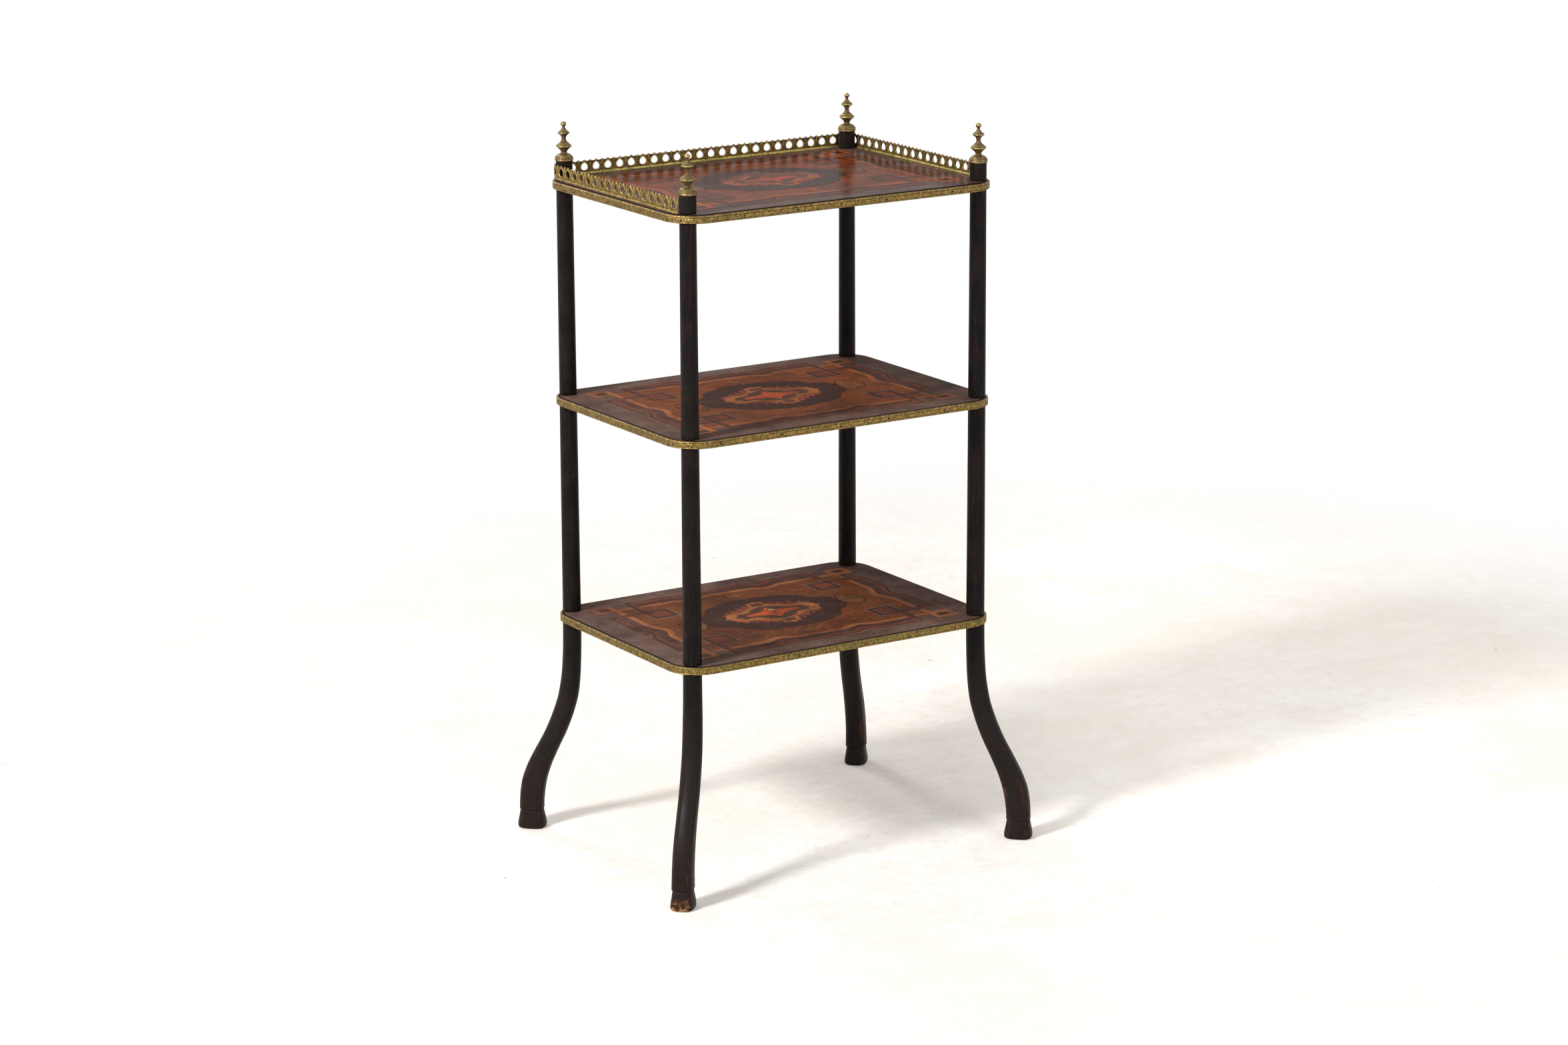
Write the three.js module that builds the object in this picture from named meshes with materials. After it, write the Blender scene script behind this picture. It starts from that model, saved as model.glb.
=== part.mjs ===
// Three-tier etagere: ebonised posts and legs, marquetry shelves in brass bands, pierced brass gallery
import * as THREE from 'three';
import { mergeVertices } from 'three/addons/utils/BufferGeometryUtils.js';

// Shelves: lengths in millimetres, heights measured from the floor to the top face of each shelf
const shelfLength = 466;
const shelfDepth = 342;
const shelfCornerRadius = 40;
const coreThickness = 9.75;
const topCoreThickness = 10.5;
const veneerThickness = 1.25;
const bottomShelfHeight = 298.5;
const middleShelfHeight = 586.25;
const topShelfHeight = 866.25;

// Post column: distance of its axis from the wood edges, and its diameters from the foot up
const postInset = 19.5;
const bottomPostDiameter = 23.7;
const middlePostDiameter = 22.3;
const topPostDiameter = 21;
const stubDiameter = 21.3;
const stubHeight = 22;
const postFootBevel = 1.25;

// Screwed joints: each post has a spigot that passes through the shelf into the piece below
const spigotDiameter = 12;
const spigotReach = 18;
const shankDiameter = 5;
const shankReach = 14;
const spigotClearance = 0.5;
const endGap = 1;

// Brass bands around the shelves, standing a little above each shelf's underside
const bandHeight = 9.5;
const bandFootRise = 0.75;
const bandThickness = 3;
const bandGap = 0.3;

// Legs: the foot is carried outwards along the diagonal of the plan
const footKickLength = 58.9;
const legTopDiameter = 24;
const hoofHeight = 25;

// Finials
const finialHeight = 50.25;
const finialBaseDiameter = 23.5;

// Pierced gallery on three sides of the top shelf
const galleryHeight = 18.5;
const galleryThickness = 1.6;
const galleryFootThickness = 2.2;
const galleryPostGap = 0.5;
const galleryPitch = 17;
const galleryRailHeight = 5;
const galleryHoleWidth = 10.5;
const galleryHoleHeight = 9.6;
const galleryCrestDepth = 2;
const gallerySmallKnobDepth = 0.5;
const galleryEndSetbackLength = 3;
const galleryBackJointLength = 79.5;
const galleryJointGap = 0.3;

// Marquetry: the warm field has a serpentine edge, and the dark cartouche lies at its centre
const fieldBorderWidth = 59;
const fieldHumpDepth = 8;
const fieldHumpHalfWidth = 30;
const fieldHumpSpacing = 116;
const cartoucheLength = 208;
const cartoucheDepth = 150;
const inlayGap = 0.2;

// Facets
const cornerSegments = 6;
const postSides = 12;
const finialSides = 12;
const legSides = 16;
const holeSegments = 5;

// Heights and places that follow from the sizes above
const postX = shelfLength / 2 - postInset;
const postY = shelfDepth / 2 - postInset;
const corners = [
  { name: 'front_left', x: -postX, y: -postY },
  { name: 'front_right', x: postX, y: -postY },
  { name: 'back_left', x: -postX, y: postY },
  { name: 'back_right', x: postX, y: postY },
];
const shelves = [
  { name: 'bottom', height: bottomShelfHeight, core: coreThickness },
  { name: 'middle', height: middleShelfHeight, core: coreThickness },
  { name: 'top', height: topShelfHeight, core: topCoreThickness },
];
const [bottomUnderside, middleUnderside, topUnderside] = shelves.map(({ height, core }) => (
  height - core - veneerThickness
));

// Finial outline from the bottom ring to the tip, as shares of its height and of its base radius
const finialOutlineShares = [
  [0, 0.92],
  [0.035, 1],
  [0.1, 0.98],
  [0.175, 0.66],
  [0.205, 0.33],
  [0.27, 0.4],
  [0.375, 0.83],
  [0.405, 0.8],
  [0.47, 0.46],
  [0.57, 0.235],
  [0.63, 0.3],
  [0.69, 0.58],
  [0.71, 0.64],
  [0.735, 0.6],
  [0.79, 0.3],
  [0.865, 0.145],
  [0.9, 0.25],
  [0.945, 0.31],
  [0.985, 0.19],
];

// Leg stations from the sole up, each with the height as a share of the part that it lies in,
// the outward kick as a share of the foot's, the widths along and across the diagonal as shares
// of the top diameter, and the exponent that squares the section
const hoofStationShares = [
  [0, 1, 1.4, 1.16, 2.8],
  [0.3, 1, 1.53, 1.27, 3],
  [0.7, 1, 1.37, 1.14, 3],
  [0.96, 1, 1.25, 1.06, 3],
];
const shankStationShares = [
  [0.002, 1, 1.3, 1.15, 3],
  [0.075, 0.983, 1.32, 1.12, 3],
  [0.145, 0.934, 1.345, 1.1, 3],
  [0.225, 0.82, 1.32, 1.085, 2.9],
  [0.31, 0.645, 1.265, 1.07, 2.7],
  [0.41, 0.42, 1.2, 1.07, 2.5],
  [0.51, 0.24, 1.155, 1.07, 2.3],
  [0.62, 0.1, 1.1, 1.07, 2.1],
  [0.755, 0.028, 1.03, 1.05, 2],
  [1, 0, 1, 1, 2],
];

// A quarter of the cartouche's outline, as shares of its half length and of its half depth
const cartoucheQuarterShares = [
  [1, 0],
  [0.975, 0.24],
  [0.9, 0.38],
  [0.8, 0.45],
  [0.745, 0.55],
  [0.67, 0.72],
  [0.5, 0.86],
  [0.27, 0.965],
  [0, 1],
];

// Band section from the bottom lip round to the top one, as shares of its thickness and height
const bandSectionShares = [
  [0.62, 0],
  [0.87, 0.12],
  [1, 0.34],
  [1, 0.58],
  [0.86, 0.82],
  [0.55, 1],
];

// Colours
const ebonised = new THREE.Color('#2a2522');
const rosewood = new THREE.Color('#4d352c');
const burrWood = new THREE.Color('#8a4f2a');
const darkInlay = new THREE.Color('#2e2220');
const plainWood = new THREE.Color('#5a4231');
const agedBrass = new THREE.Color('#8d7d4c');

function wood(colour, roughness) {
  return new THREE.MeshStandardMaterial({ color: colour, roughness, metalness: 0 });
}

function brass() {
  return new THREE.MeshStandardMaterial({ color: agedBrass, roughness: 0.45, metalness: 1 });
}

// A shelf-shaped outline with round corners, anticlockwise, grown outwards by an offset
function shelfOutline(offset) {
  const points = [];
  const centreX = shelfLength / 2 - shelfCornerRadius;
  const centreY = shelfDepth / 2 - shelfCornerRadius;
  const quadrants = [[1, 1], [-1, 1], [-1, -1], [1, -1]];
  quadrants.forEach(([sideX, sideY], quadrant) => {
    for (let step = 0; step <= cornerSegments; step += 1) {
      const angle = (quadrant + step / cornerSegments) * Math.PI / 2;
      const reach = shelfCornerRadius + offset;
      const x = sideX * centreX + reach * Math.cos(angle);
      const y = sideY * centreY + reach * Math.sin(angle);
      points.push(new THREE.Vector2(x, y));
    }
  });
  return points;
}

// The field's serpentine outline, anticlockwise: two humps in each long side and one in each short side
function fieldOutline(offset) {
  const halfX = shelfLength / 2 - fieldBorderWidth + offset;
  const halfY = shelfDepth / 2 - fieldBorderWidth + offset;
  const longHumps = [-fieldHumpSpacing / 2, fieldHumpSpacing / 2];
  const points = [];
  const hump = (centre, place) => {
    for (let step = -2; step <= 2; step += 1) {
      const along = centre + step / 2 * fieldHumpHalfWidth;
      const inwards = fieldHumpDepth * (1 + Math.cos(step / 2 * Math.PI)) / 2;
      points.push(place(along, inwards));
    }
  };
  points.push(new THREE.Vector2(-halfX, -halfY));
  longHumps.forEach((centre) => hump(centre, (along, inwards) => new THREE.Vector2(along, inwards - halfY)));
  points.push(new THREE.Vector2(halfX, -halfY));
  hump(0, (along, inwards) => new THREE.Vector2(halfX - inwards, along));
  points.push(new THREE.Vector2(halfX, halfY));
  longHumps.forEach((centre) => hump(centre, (along, inwards) => new THREE.Vector2(-along, halfY - inwards)));
  points.push(new THREE.Vector2(-halfX, halfY));
  hump(0, (along, inwards) => new THREE.Vector2(inwards - halfX, -along));
  return points;
}

// The cartouche's outline, anticlockwise, from one quarter turned about both axes
function cartoucheOutline(offset) {
  const halfX = cartoucheLength / 2 + offset;
  const halfY = cartoucheDepth / 2 + offset;
  const last = cartoucheQuarterShares.length - 1;
  const points = [];
  const quarters = [[1, 1], [-1, 1], [-1, -1], [1, -1]];
  quarters.forEach(([sideX, sideY], quarter) => {
    for (let i = 0; i < last; i += 1) {
      const [shareX, shareY] = cartoucheQuarterShares[quarter % 2 === 0 ? i : last - i];
      points.push(new THREE.Vector2(sideX * shareX * halfX, sideY * shareY * halfY));
    }
  });
  return points;
}

function spigotHoles() {
  return corners.map(({ x, y }) => {
    const hole = new THREE.Path();
    hole.absarc(x, y, spigotDiameter / 2 + spigotClearance, 0, 2 * Math.PI, true);
    return hole;
  });
}

// A flat plate from an outline and its holes, standing on its own bottom face
function plate(outline, holes, thickness) {
  const shape = new THREE.Shape(outline);
  shape.holes = holes;
  return new THREE.ExtrudeGeometry(shape, {
    depth: thickness,
    bevelEnabled: false,
    curveSegments: holeSegments,
  });
}

// A turned piece, from its outline as pairs of radius and height
function turned(outline, sides) {
  const points = outline.map(([radius, height]) => new THREE.Vector2(radius, height));
  return new THREE.LatheGeometry(points, sides).rotateX(Math.PI / 2);
}

// Collects faces from points and closes them into one indexed geometry
function solidFromFaces(addFaces) {
  const positions = [];
  const triangle = (a, b, c) => [a, b, c].forEach((point) => positions.push(point.x, point.y, point.z));
  const quad = (a, b, c, d) => {
    triangle(a, b, c);
    triangle(a, c, d);
  };
  addFaces(quad, triangle);
  const geometry = new THREE.BufferGeometry();
  geometry.setAttribute('position', new THREE.Float32BufferAttribute(positions, 3));
  const closed = mergeVertices(geometry);
  closed.computeVertexNormals();
  return closed;
}

// A post section with a spigot below and a threaded bore above, standing on its bevelled shoulder.
// The spigot passes through the shelf below it and into the piece under that shelf.
function postSection(lowerDiameter, upperDiameter, length, shelfThickness, boreDiameter, boreDepth) {
  const spigotRadius = spigotDiameter / 2;
  const spigotLength = shelfThickness + spigotReach;
  const boreRadius = boreDiameter / 2 + spigotClearance;
  const boreFloor = length - boreDepth - endGap;
  return turned([
    [0, -spigotLength],
    [spigotRadius, -spigotLength],
    [spigotRadius, 0],
    [lowerDiameter / 2 - postFootBevel, 0],
    [lowerDiameter / 2, postFootBevel],
    [upperDiameter / 2, length],
    [boreRadius, length],
    [boreRadius, boreFloor],
    [0, boreFloor],
  ], postSides);
}

function finial() {
  const shank = [
    [0, -shankReach],
    [shankDiameter / 2, -shankReach],
    [shankDiameter / 2, 0],
  ];
  const ornament = finialOutlineShares.map(([heightShare, radiusShare]) => [
    radiusShare * finialBaseDiameter / 2,
    heightShare * finialHeight,
  ]);
  return turned([...shank, ...ornament, [0, finialHeight]], finialSides);
}

// One ring of a leg, with the diagonal of the plan along X
function legRing(height, kickShare, alongShare, acrossShare, exponent) {
  const ring = [];
  for (let side = 0; side < legSides; side += 1) {
    const angle = side / legSides * 2 * Math.PI;
    const cosine = Math.cos(angle);
    const sine = Math.sin(angle);
    const power = Math.abs(cosine) ** exponent + Math.abs(sine) ** exponent;
    const reach = legTopDiameter / 2 / power ** (1 / exponent);
    const x = kickShare * footKickLength + alongShare * reach * cosine;
    const y = acrossShare * reach * sine;
    ring.push(new THREE.Vector3(x, y, height));
  }
  return ring;
}

function roundRing(radius, height) {
  const ring = [];
  for (let side = 0; side < legSides; side += 1) {
    const angle = side / legSides * 2 * Math.PI;
    ring.push(new THREE.Vector3(radius * Math.cos(angle), radius * Math.sin(angle), height));
  }
  return ring;
}

// A leg with its hoof, from the sole up, ending in the bore that takes the post's spigot
function leg() {
  const shankLength = bottomUnderside - hoofHeight;
  const boreRadius = spigotDiameter / 2 + spigotClearance;
  const boreFloor = bottomUnderside - spigotReach - endGap;
  const rings = [
    ...hoofStationShares.map(([share, ...rest]) => legRing(share * hoofHeight, ...rest)),
    ...shankStationShares.map(([share, ...rest]) => legRing(hoofHeight + share * shankLength, ...rest)),
    roundRing(boreRadius, bottomUnderside),
    roundRing(boreRadius, boreFloor),
  ];
  const soleCentre = new THREE.Vector3(footKickLength, 0, 0);
  const boreCentre = new THREE.Vector3(0, 0, boreFloor);
  return solidFromFaces((quad, triangle) => {
    const lastRing = rings.length - 1;
    for (let side = 0; side < legSides; side += 1) {
      const next = (side + 1) % legSides;
      triangle(soleCentre, rings[0][next], rings[0][side]);
      for (let i = 0; i < lastRing; i += 1) {
        quad(rings[i][side], rings[i][next], rings[i + 1][next], rings[i + 1][side]);
      }
      triangle(boreCentre, rings[lastRing][side], rings[lastRing][next]);
    }
  });
}

// A brass band: its section swept around the shelf, standing on its bottom lip
function band() {
  const outer = bandSectionShares.map(([reachShare, heightShare]) => [
    bandGap + reachShare * bandThickness,
    heightShare * bandHeight,
  ]);
  const section = [...outer, [bandGap, bandHeight], [bandGap, 0]];
  const loops = section.map(([reach, height]) => (
    shelfOutline(reach).map(({ x, y }) => new THREE.Vector3(x, y, height))
  ));
  return solidFromFaces((quad) => {
    loops.forEach((loop, i) => {
      const above = loops[(i + 1) % loops.length];
      loop.forEach((point, j) => {
        const next = (j + 1) % loop.length;
        quad(point, loop[next], above[next], above[j]);
      });
    });
  });
}

// The gallery's centre line: up the left side, round the back posts and down the right side
const wrapRadius = stubDiameter / 2 + galleryPostGap + galleryThickness / 2;
const sideRun = 2 * postY - galleryEndSetbackLength;
const backRun = 2 * postX;
const wrapRun = wrapRadius * Math.PI / 2;
const galleryRun = 2 * (sideRun + wrapRun) + backRun;

// A point of the gallery, by its distance along the run and its offset from the centre line
function galleryPoint(distance, height, outwards) {
  const reach = wrapRadius + outwards;
  const turnedPoint = (centreX, angle) => new THREE.Vector3(
    centreX + reach * Math.cos(angle),
    postY + reach * Math.sin(angle),
    height,
  );
  const firstWrapEnd = sideRun + wrapRun;
  const secondWrapStart = firstWrapEnd + backRun;
  const secondWrapEnd = secondWrapStart + wrapRun;
  if (distance < sideRun) {
    return new THREE.Vector3(-postX - reach, postY - sideRun + distance, height);
  }
  if (distance < firstWrapEnd) {
    return turnedPoint(-postX, Math.PI - (distance - sideRun) / wrapRadius);
  }
  if (distance < secondWrapStart) {
    return new THREE.Vector3(distance - firstWrapEnd - postX, postY + reach, height);
  }
  if (distance < secondWrapEnd) {
    return turnedPoint(postX, Math.PI / 2 - (distance - secondWrapStart) / wrapRadius);
  }
  return new THREE.Vector3(postX + reach, postY - (distance - secondWrapEnd), height);
}

// A strip of gallery between two places on the run, made of equal cells with one pointed hole each
function galleryStrip(start, end) {
  const cells = Math.round((end - start) / galleryPitch);
  const pitch = (end - start) / cells;
  const holeTop = galleryRailHeight + galleryHoleHeight;
  const holeSide = galleryHoleWidth / 2;
  const valley = galleryHeight - galleryCrestDepth;
  const smallKnob = galleryHeight - gallerySmallKnobDepth;
  const face = galleryThickness / 2;
  const foot = galleryFootThickness - face;
  const widestShare = 0.45;
  const shoulderShare = 0.82;
  const sillShare = 0.66;
  return solidFromFaces((quad) => {
    for (let cell = 0; cell < cells; cell += 1) {
      const left = start + cell * pitch;
      const right = start + (cell + 1) * pitch;
      const middle = (left + right) / 2;
      const edge = [
        [left, 0, foot],
        [left + pitch / 3, 0, foot],
        [right - pitch / 3, 0, foot],
        [right, 0, foot],
        [right, smallKnob, face],
        [middle + pitch / 4, valley, face],
        [middle, galleryHeight, face],
        [middle - pitch / 4, valley, face],
        [left, smallKnob, face],
      ];
      const hole = [
        [middle - sillShare * holeSide, galleryRailHeight, face],
        [middle - sillShare * holeSide / 2, galleryRailHeight, face],
        [middle + sillShare * holeSide / 2, galleryRailHeight, face],
        [middle + sillShare * holeSide, galleryRailHeight, face],
        [middle + holeSide, galleryRailHeight + widestShare * galleryHoleHeight, face],
        [middle + holeSide / 2, galleryRailHeight + shoulderShare * galleryHoleHeight, face],
        [middle, holeTop, face],
        [middle - holeSide / 2, galleryRailHeight + shoulderShare * galleryHoleHeight, face],
        [middle - holeSide, galleryRailHeight + widestShare * galleryHoleHeight, face],
      ];
      const outerFace = (points) => points.map(([along, height, out]) => galleryPoint(along, height, out));
      const innerFace = (points) => points.map(([along, height]) => galleryPoint(along, height, -face));
      const edgeOut = outerFace(edge);
      const edgeIn = innerFace(edge);
      const holeOut = outerFace(hole);
      const holeIn = innerFace(hole);
      const rightEdge = 3;
      const leftEdge = edge.length - 1;
      edge.forEach((point, i) => {
        const next = (i + 1) % edge.length;
        quad(edgeIn[i], edgeIn[next], holeIn[next], holeIn[i]);
        quad(holeOut[i], holeOut[next], edgeOut[next], edgeOut[i]);
        quad(holeOut[next], holeOut[i], holeIn[i], holeIn[next]);
        const joinsNext = i === rightEdge && cell < cells - 1;
        const joinsLast = i === leftEdge && cell > 0;
        if (!joinsNext && !joinsLast) {
          quad(edgeOut[i], edgeOut[next], edgeIn[next], edgeIn[i]);
        }
      });
    }
  });
}

const etagere = new THREE.Group();

function add(name, geometry, material, x, y, z) {
  const mesh = new THREE.Mesh(geometry, material);
  mesh.name = name;
  mesh.position.set(x, y, z);
  etagere.add(mesh);
  return mesh;
}

function addShelf({ name, height, core: boardThickness }) {
  const glueLine = height - veneerThickness;
  const underside = glueLine - boardThickness;
  const halfGap = inlayGap / 2;
  const core = plate(shelfOutline(0), spigotHoles(), boardThickness);
  const borderHoles = [...spigotHoles(), new THREE.Path(fieldOutline(halfGap))];
  const border = plate(shelfOutline(0), borderHoles, veneerThickness);
  const fieldHoles = [new THREE.Path(cartoucheOutline(halfGap))];
  const field = plate(fieldOutline(-halfGap), fieldHoles, veneerThickness);
  const cartouche = plate(cartoucheOutline(-halfGap), [], veneerThickness);
  add(`shelf_core_${name}`, core, wood(plainWood, 0.7), 0, 0, underside);
  add(`border_veneer_${name}`, border, wood(rosewood, 0.45), 0, 0, glueLine);
  add(`field_veneer_${name}`, field, wood(burrWood, 0.4), 0, 0, glueLine);
  add(`cartouche_veneer_${name}`, cartouche, wood(darkInlay, 0.4), 0, 0, glueLine);
  add(`brass_band_${name}`, band(), brass(), 0, 0, underside + bandFootRise);
}

function addColumn({ name, x, y }) {
  const bottomThickness = bottomShelfHeight - bottomUnderside;
  const middleThickness = middleShelfHeight - middleUnderside;
  const topThickness = topShelfHeight - topUnderside;
  const lowerLength = middleUnderside - bottomShelfHeight;
  const upperLength = topUnderside - middleShelfHeight;
  const lower = postSection(
    bottomPostDiameter,
    middlePostDiameter,
    lowerLength,
    bottomThickness,
    spigotDiameter,
    spigotReach,
  );
  const upper = postSection(
    middlePostDiameter,
    topPostDiameter,
    upperLength,
    middleThickness,
    spigotDiameter,
    spigotReach,
  );
  const stub = postSection(stubDiameter, stubDiameter, stubHeight, topThickness, shankDiameter, shankReach);
  add(`leg_${name}`, leg(), wood(ebonised, 0.4), x, y, 0).rotation.z = Math.sign(y) * (
    x > 0 ? Math.PI / 4 : 3 * Math.PI / 4
  );
  add(`lower_post_${name}`, lower, wood(ebonised, 0.35), x, y, bottomShelfHeight);
  add(`upper_post_${name}`, upper, wood(ebonised, 0.35), x, y, middleShelfHeight);
  add(`post_stub_${name}`, stub, wood(ebonised, 0.35), x, y, topShelfHeight);
  add(`finial_${name}`, finial(), brass(), x, y, topShelfHeight + stubHeight);
}

function addGallery() {
  const joint = sideRun + wrapRun + galleryBackJointLength;
  const leftStrip = galleryStrip(0, joint - galleryJointGap / 2);
  const rightStrip = galleryStrip(joint + galleryJointGap / 2, galleryRun);
  add('gallery_left', leftStrip, brass(), 0, 0, topShelfHeight);
  add('gallery_right', rightStrip, brass(), 0, 0, topShelfHeight);
}

shelves.forEach(addShelf);
corners.forEach(addColumn);
addGallery();

export default etagere;
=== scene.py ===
import math
import random

import bmesh
import bpy
import numpy as np
from mathutils import Matrix, Vector


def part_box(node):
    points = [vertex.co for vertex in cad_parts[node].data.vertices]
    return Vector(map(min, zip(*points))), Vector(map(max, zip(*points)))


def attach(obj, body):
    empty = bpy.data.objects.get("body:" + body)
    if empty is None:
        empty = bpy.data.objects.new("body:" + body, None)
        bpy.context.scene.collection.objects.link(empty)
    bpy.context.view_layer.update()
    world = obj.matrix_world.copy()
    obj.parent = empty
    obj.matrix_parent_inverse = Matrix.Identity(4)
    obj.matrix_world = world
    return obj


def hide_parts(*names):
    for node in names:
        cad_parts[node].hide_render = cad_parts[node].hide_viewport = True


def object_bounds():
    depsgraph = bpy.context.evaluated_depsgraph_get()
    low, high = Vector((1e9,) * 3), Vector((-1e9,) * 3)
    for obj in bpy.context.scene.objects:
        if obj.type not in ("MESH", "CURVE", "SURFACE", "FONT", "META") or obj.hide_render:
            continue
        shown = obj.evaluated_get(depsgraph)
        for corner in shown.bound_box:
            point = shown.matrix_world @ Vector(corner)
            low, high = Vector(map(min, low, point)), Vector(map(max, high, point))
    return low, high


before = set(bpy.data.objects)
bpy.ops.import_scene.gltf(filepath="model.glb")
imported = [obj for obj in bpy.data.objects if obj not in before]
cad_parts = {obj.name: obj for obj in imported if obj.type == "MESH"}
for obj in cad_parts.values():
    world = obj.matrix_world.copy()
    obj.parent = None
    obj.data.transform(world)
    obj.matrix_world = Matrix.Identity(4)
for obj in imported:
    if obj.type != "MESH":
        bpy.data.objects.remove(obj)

cad_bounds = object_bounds()
random.seed(7)

# Lengths are in millimetres here, and become metres where a mesh is made
MM = 0.001
FULL_TURN = 2 * math.pi
RIGHT_ANGLE = math.pi / 2
UP = Vector((0, 0, 1))

SHELVES = ("bottom", "middle", "top")
CORNERS = {"front_left": (-1, -1), "front_right": (1, -1), "back_left": (-1, 1), "back_right": (1, 1)}
QUARTERS = ((1, 1), (-1, 1), (-1, -1), (1, -1))
BACK_AND_FRONT = ((1, 1), (1, -1))


def corners_of(node):
    """The lowest and the highest corner of a CAD node, in millimetres."""
    low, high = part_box(node)
    return np.array(low) / MM, np.array(high) / MM


# Sizes that the CAD parts give
border_low, border_high = corners_of("border_veneer_middle")
SHELF_HALF = border_high[:2]
VENEER = border_high[2] - border_low[2]
SHELF_TOP = {name: corners_of(f"border_veneer_{name}")[1][2] for name in SHELVES}
SHELF_UNDERSIDE = {name: corners_of(f"shelf_core_{name}")[0][2] for name in SHELVES}
post_low, post_high = corners_of("lower_post_front_right")
POST_X = (post_low[0] + post_high[0]) / 2
POST_Y = -(post_low[1] + post_high[1]) / 2
POST_PLACES = {corner: (side_x * POST_X, side_y * POST_Y) for corner, (side_x, side_y) in CORNERS.items()}
TIP = cad_bounds[1][2] / MM

# Sizes that the CAD parts' boxes don't hold
CORNER_RADIUS = 40
STUB_DIAMETER = 21.3
STUB_HEIGHT = 22
SEAT = SHELF_TOP["top"] + STUB_HEIGHT
WELD_DISTANCE = 0.002


# Mesh helpers

def smooth_curve(places, values, at):
    """Values of a smooth curve without overshoot through the given points, at the places asked for."""
    steps = np.diff(places)
    slopes = np.diff(values) / steps
    tangents = np.concatenate([slopes[:1], np.zeros(len(steps) - 1), slopes[-1:]])
    for i in range(1, len(steps)):
        if slopes[i - 1] * slopes[i] > 0:
            before = 2 * steps[i] + steps[i - 1]
            after = steps[i] + 2 * steps[i - 1]
            tangents[i] = (before + after) / (before / slopes[i - 1] + after / slopes[i])
    i = np.clip(np.searchsorted(places, at, side="right") - 1, 0, len(steps) - 1)
    t = (at - places[i]) / steps[i]
    return (
        values[i] * (1 + 2 * t) * (1 - t) ** 2
        + values[i + 1] * t * t * (3 - 2 * t)
        + steps[i] * (tangents[i] * t * (1 - t) ** 2 - tangents[i + 1] * t * t * (1 - t))
    )


def ridge(distance, width):
    """A rounded ridge of height 1 at distance 0."""
    return np.exp(-(distance / width) ** 2)


def ease(value, low, high):
    """0 at low, 1 at high, and smooth between them."""
    t = np.clip((value - low) / (high - low), 0, 1)
    return t * t * (3 - 2 * t)


def unit(angle):
    """Directions at the given angles."""
    return np.stack([np.cos(angle), np.sin(angle)], axis=-1)


def stacked(x, y, z):
    """Points from arrays of their coordinates, each of which may stand for whole rows or columns."""
    return np.stack(np.broadcast_arrays(x, y, z), axis=-1).reshape(-1, 3)


def around(count):
    """Each place of a ring with the next one."""
    return [(i, (i + 1) % count) for i in range(count)]


def ring_faces(rings, sides, start=0, closed=False):
    """Quads between rings of points, anticlockwise from above. Closed joins the last ring to the first."""
    faces = []
    for ring in range(rings if closed else rings - 1):
        low = start + ring * sides
        high = start + (ring + 1) % rings * sides
        faces += [(low + j, low + k, high + k, high + j) for j, k in around(sides)]
    return faces


def solid_faces(rings, sides):
    """The faces of stacked rings with a bottom and a top."""
    bottom = tuple(range(sides - 1, -1, -1))
    top = tuple(range((rings - 1) * sides, rings * sides))
    return [*ring_faces(rings, sides), bottom, top]


def make_mesh(name, points, faces, values=None, weld=False):
    """A mesh object from points in millimetres, with named values at its points."""
    mesh = bpy.data.meshes.new(name)
    mesh.from_pydata((np.asarray(points, float) * MM).tolist(), [], faces)
    for key, data in (values or {}).items():
        data = np.asarray(data, np.float32)
        kind, field = ("FLOAT", "value") if data.ndim == 1 else ("FLOAT_VECTOR", "vector")
        mesh.attributes.new(key, kind, "POINT").data.foreach_set(field, data.ravel())
    if weld:
        shape = bmesh.new()
        shape.from_mesh(mesh)
        bmesh.ops.remove_doubles(shape, verts=shape.verts, dist=WELD_DISTANCE * MM)
        bmesh.ops.recalc_face_normals(shape, faces=shape.faces)
        shape.to_mesh(mesh)
        shape.free()
    mesh.validate()
    made = bpy.data.objects.new(name, mesh)
    bpy.context.scene.collection.objects.link(made)
    return made


def add_piece(name, points, faces, material, slot, *nodes, values=None, sharp=40, weld=False):
    """A piece of the stand, with its look, body and the CAD nodes that it stands for. Its slot is not used.
    """
    piece = make_mesh(name, points, faces, values, weld)
    piece.data.materials.append(material)
    piece.data.shade_smooth()
    piece.data.set_sharp_from_angle(angle=math.radians(sharp))
    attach(piece, "root")
    if nodes:
        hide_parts(*nodes)


TURNED_SIDES = 64


def add_turned(name, outline, centre, material, slot, node, value="wear", sharp=40):
    """A turned piece from its outline of (radius, height, value), standing on a centre point."""
    radius, height, shares = np.array(outline).T[:, :, None]
    rim = unit(np.arange(TURNED_SIDES) / TURNED_SIDES * FULL_TURN)
    points = stacked(centre[0] + radius * rim[:, 0], centre[1] + radius * rim[:, 1], centre[2] + height)
    faces = solid_faces(len(radius), TURNED_SIDES)
    values = {value: np.repeat(shares, TURNED_SIDES)}
    add_piece(name, points, faces, material, slot, node, values=values, sharp=sharp)


# Materials

def linear(red, green, blue):
    """A colour given as screen values from 0 to 255, made linear."""
    screen = np.array((red, green, blue)) / 255
    light = np.where(screen <= 0.04045, screen / 12.92, ((screen + 0.055) / 1.055) ** 2.4)
    return (*light.tolist(), 1)


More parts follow.
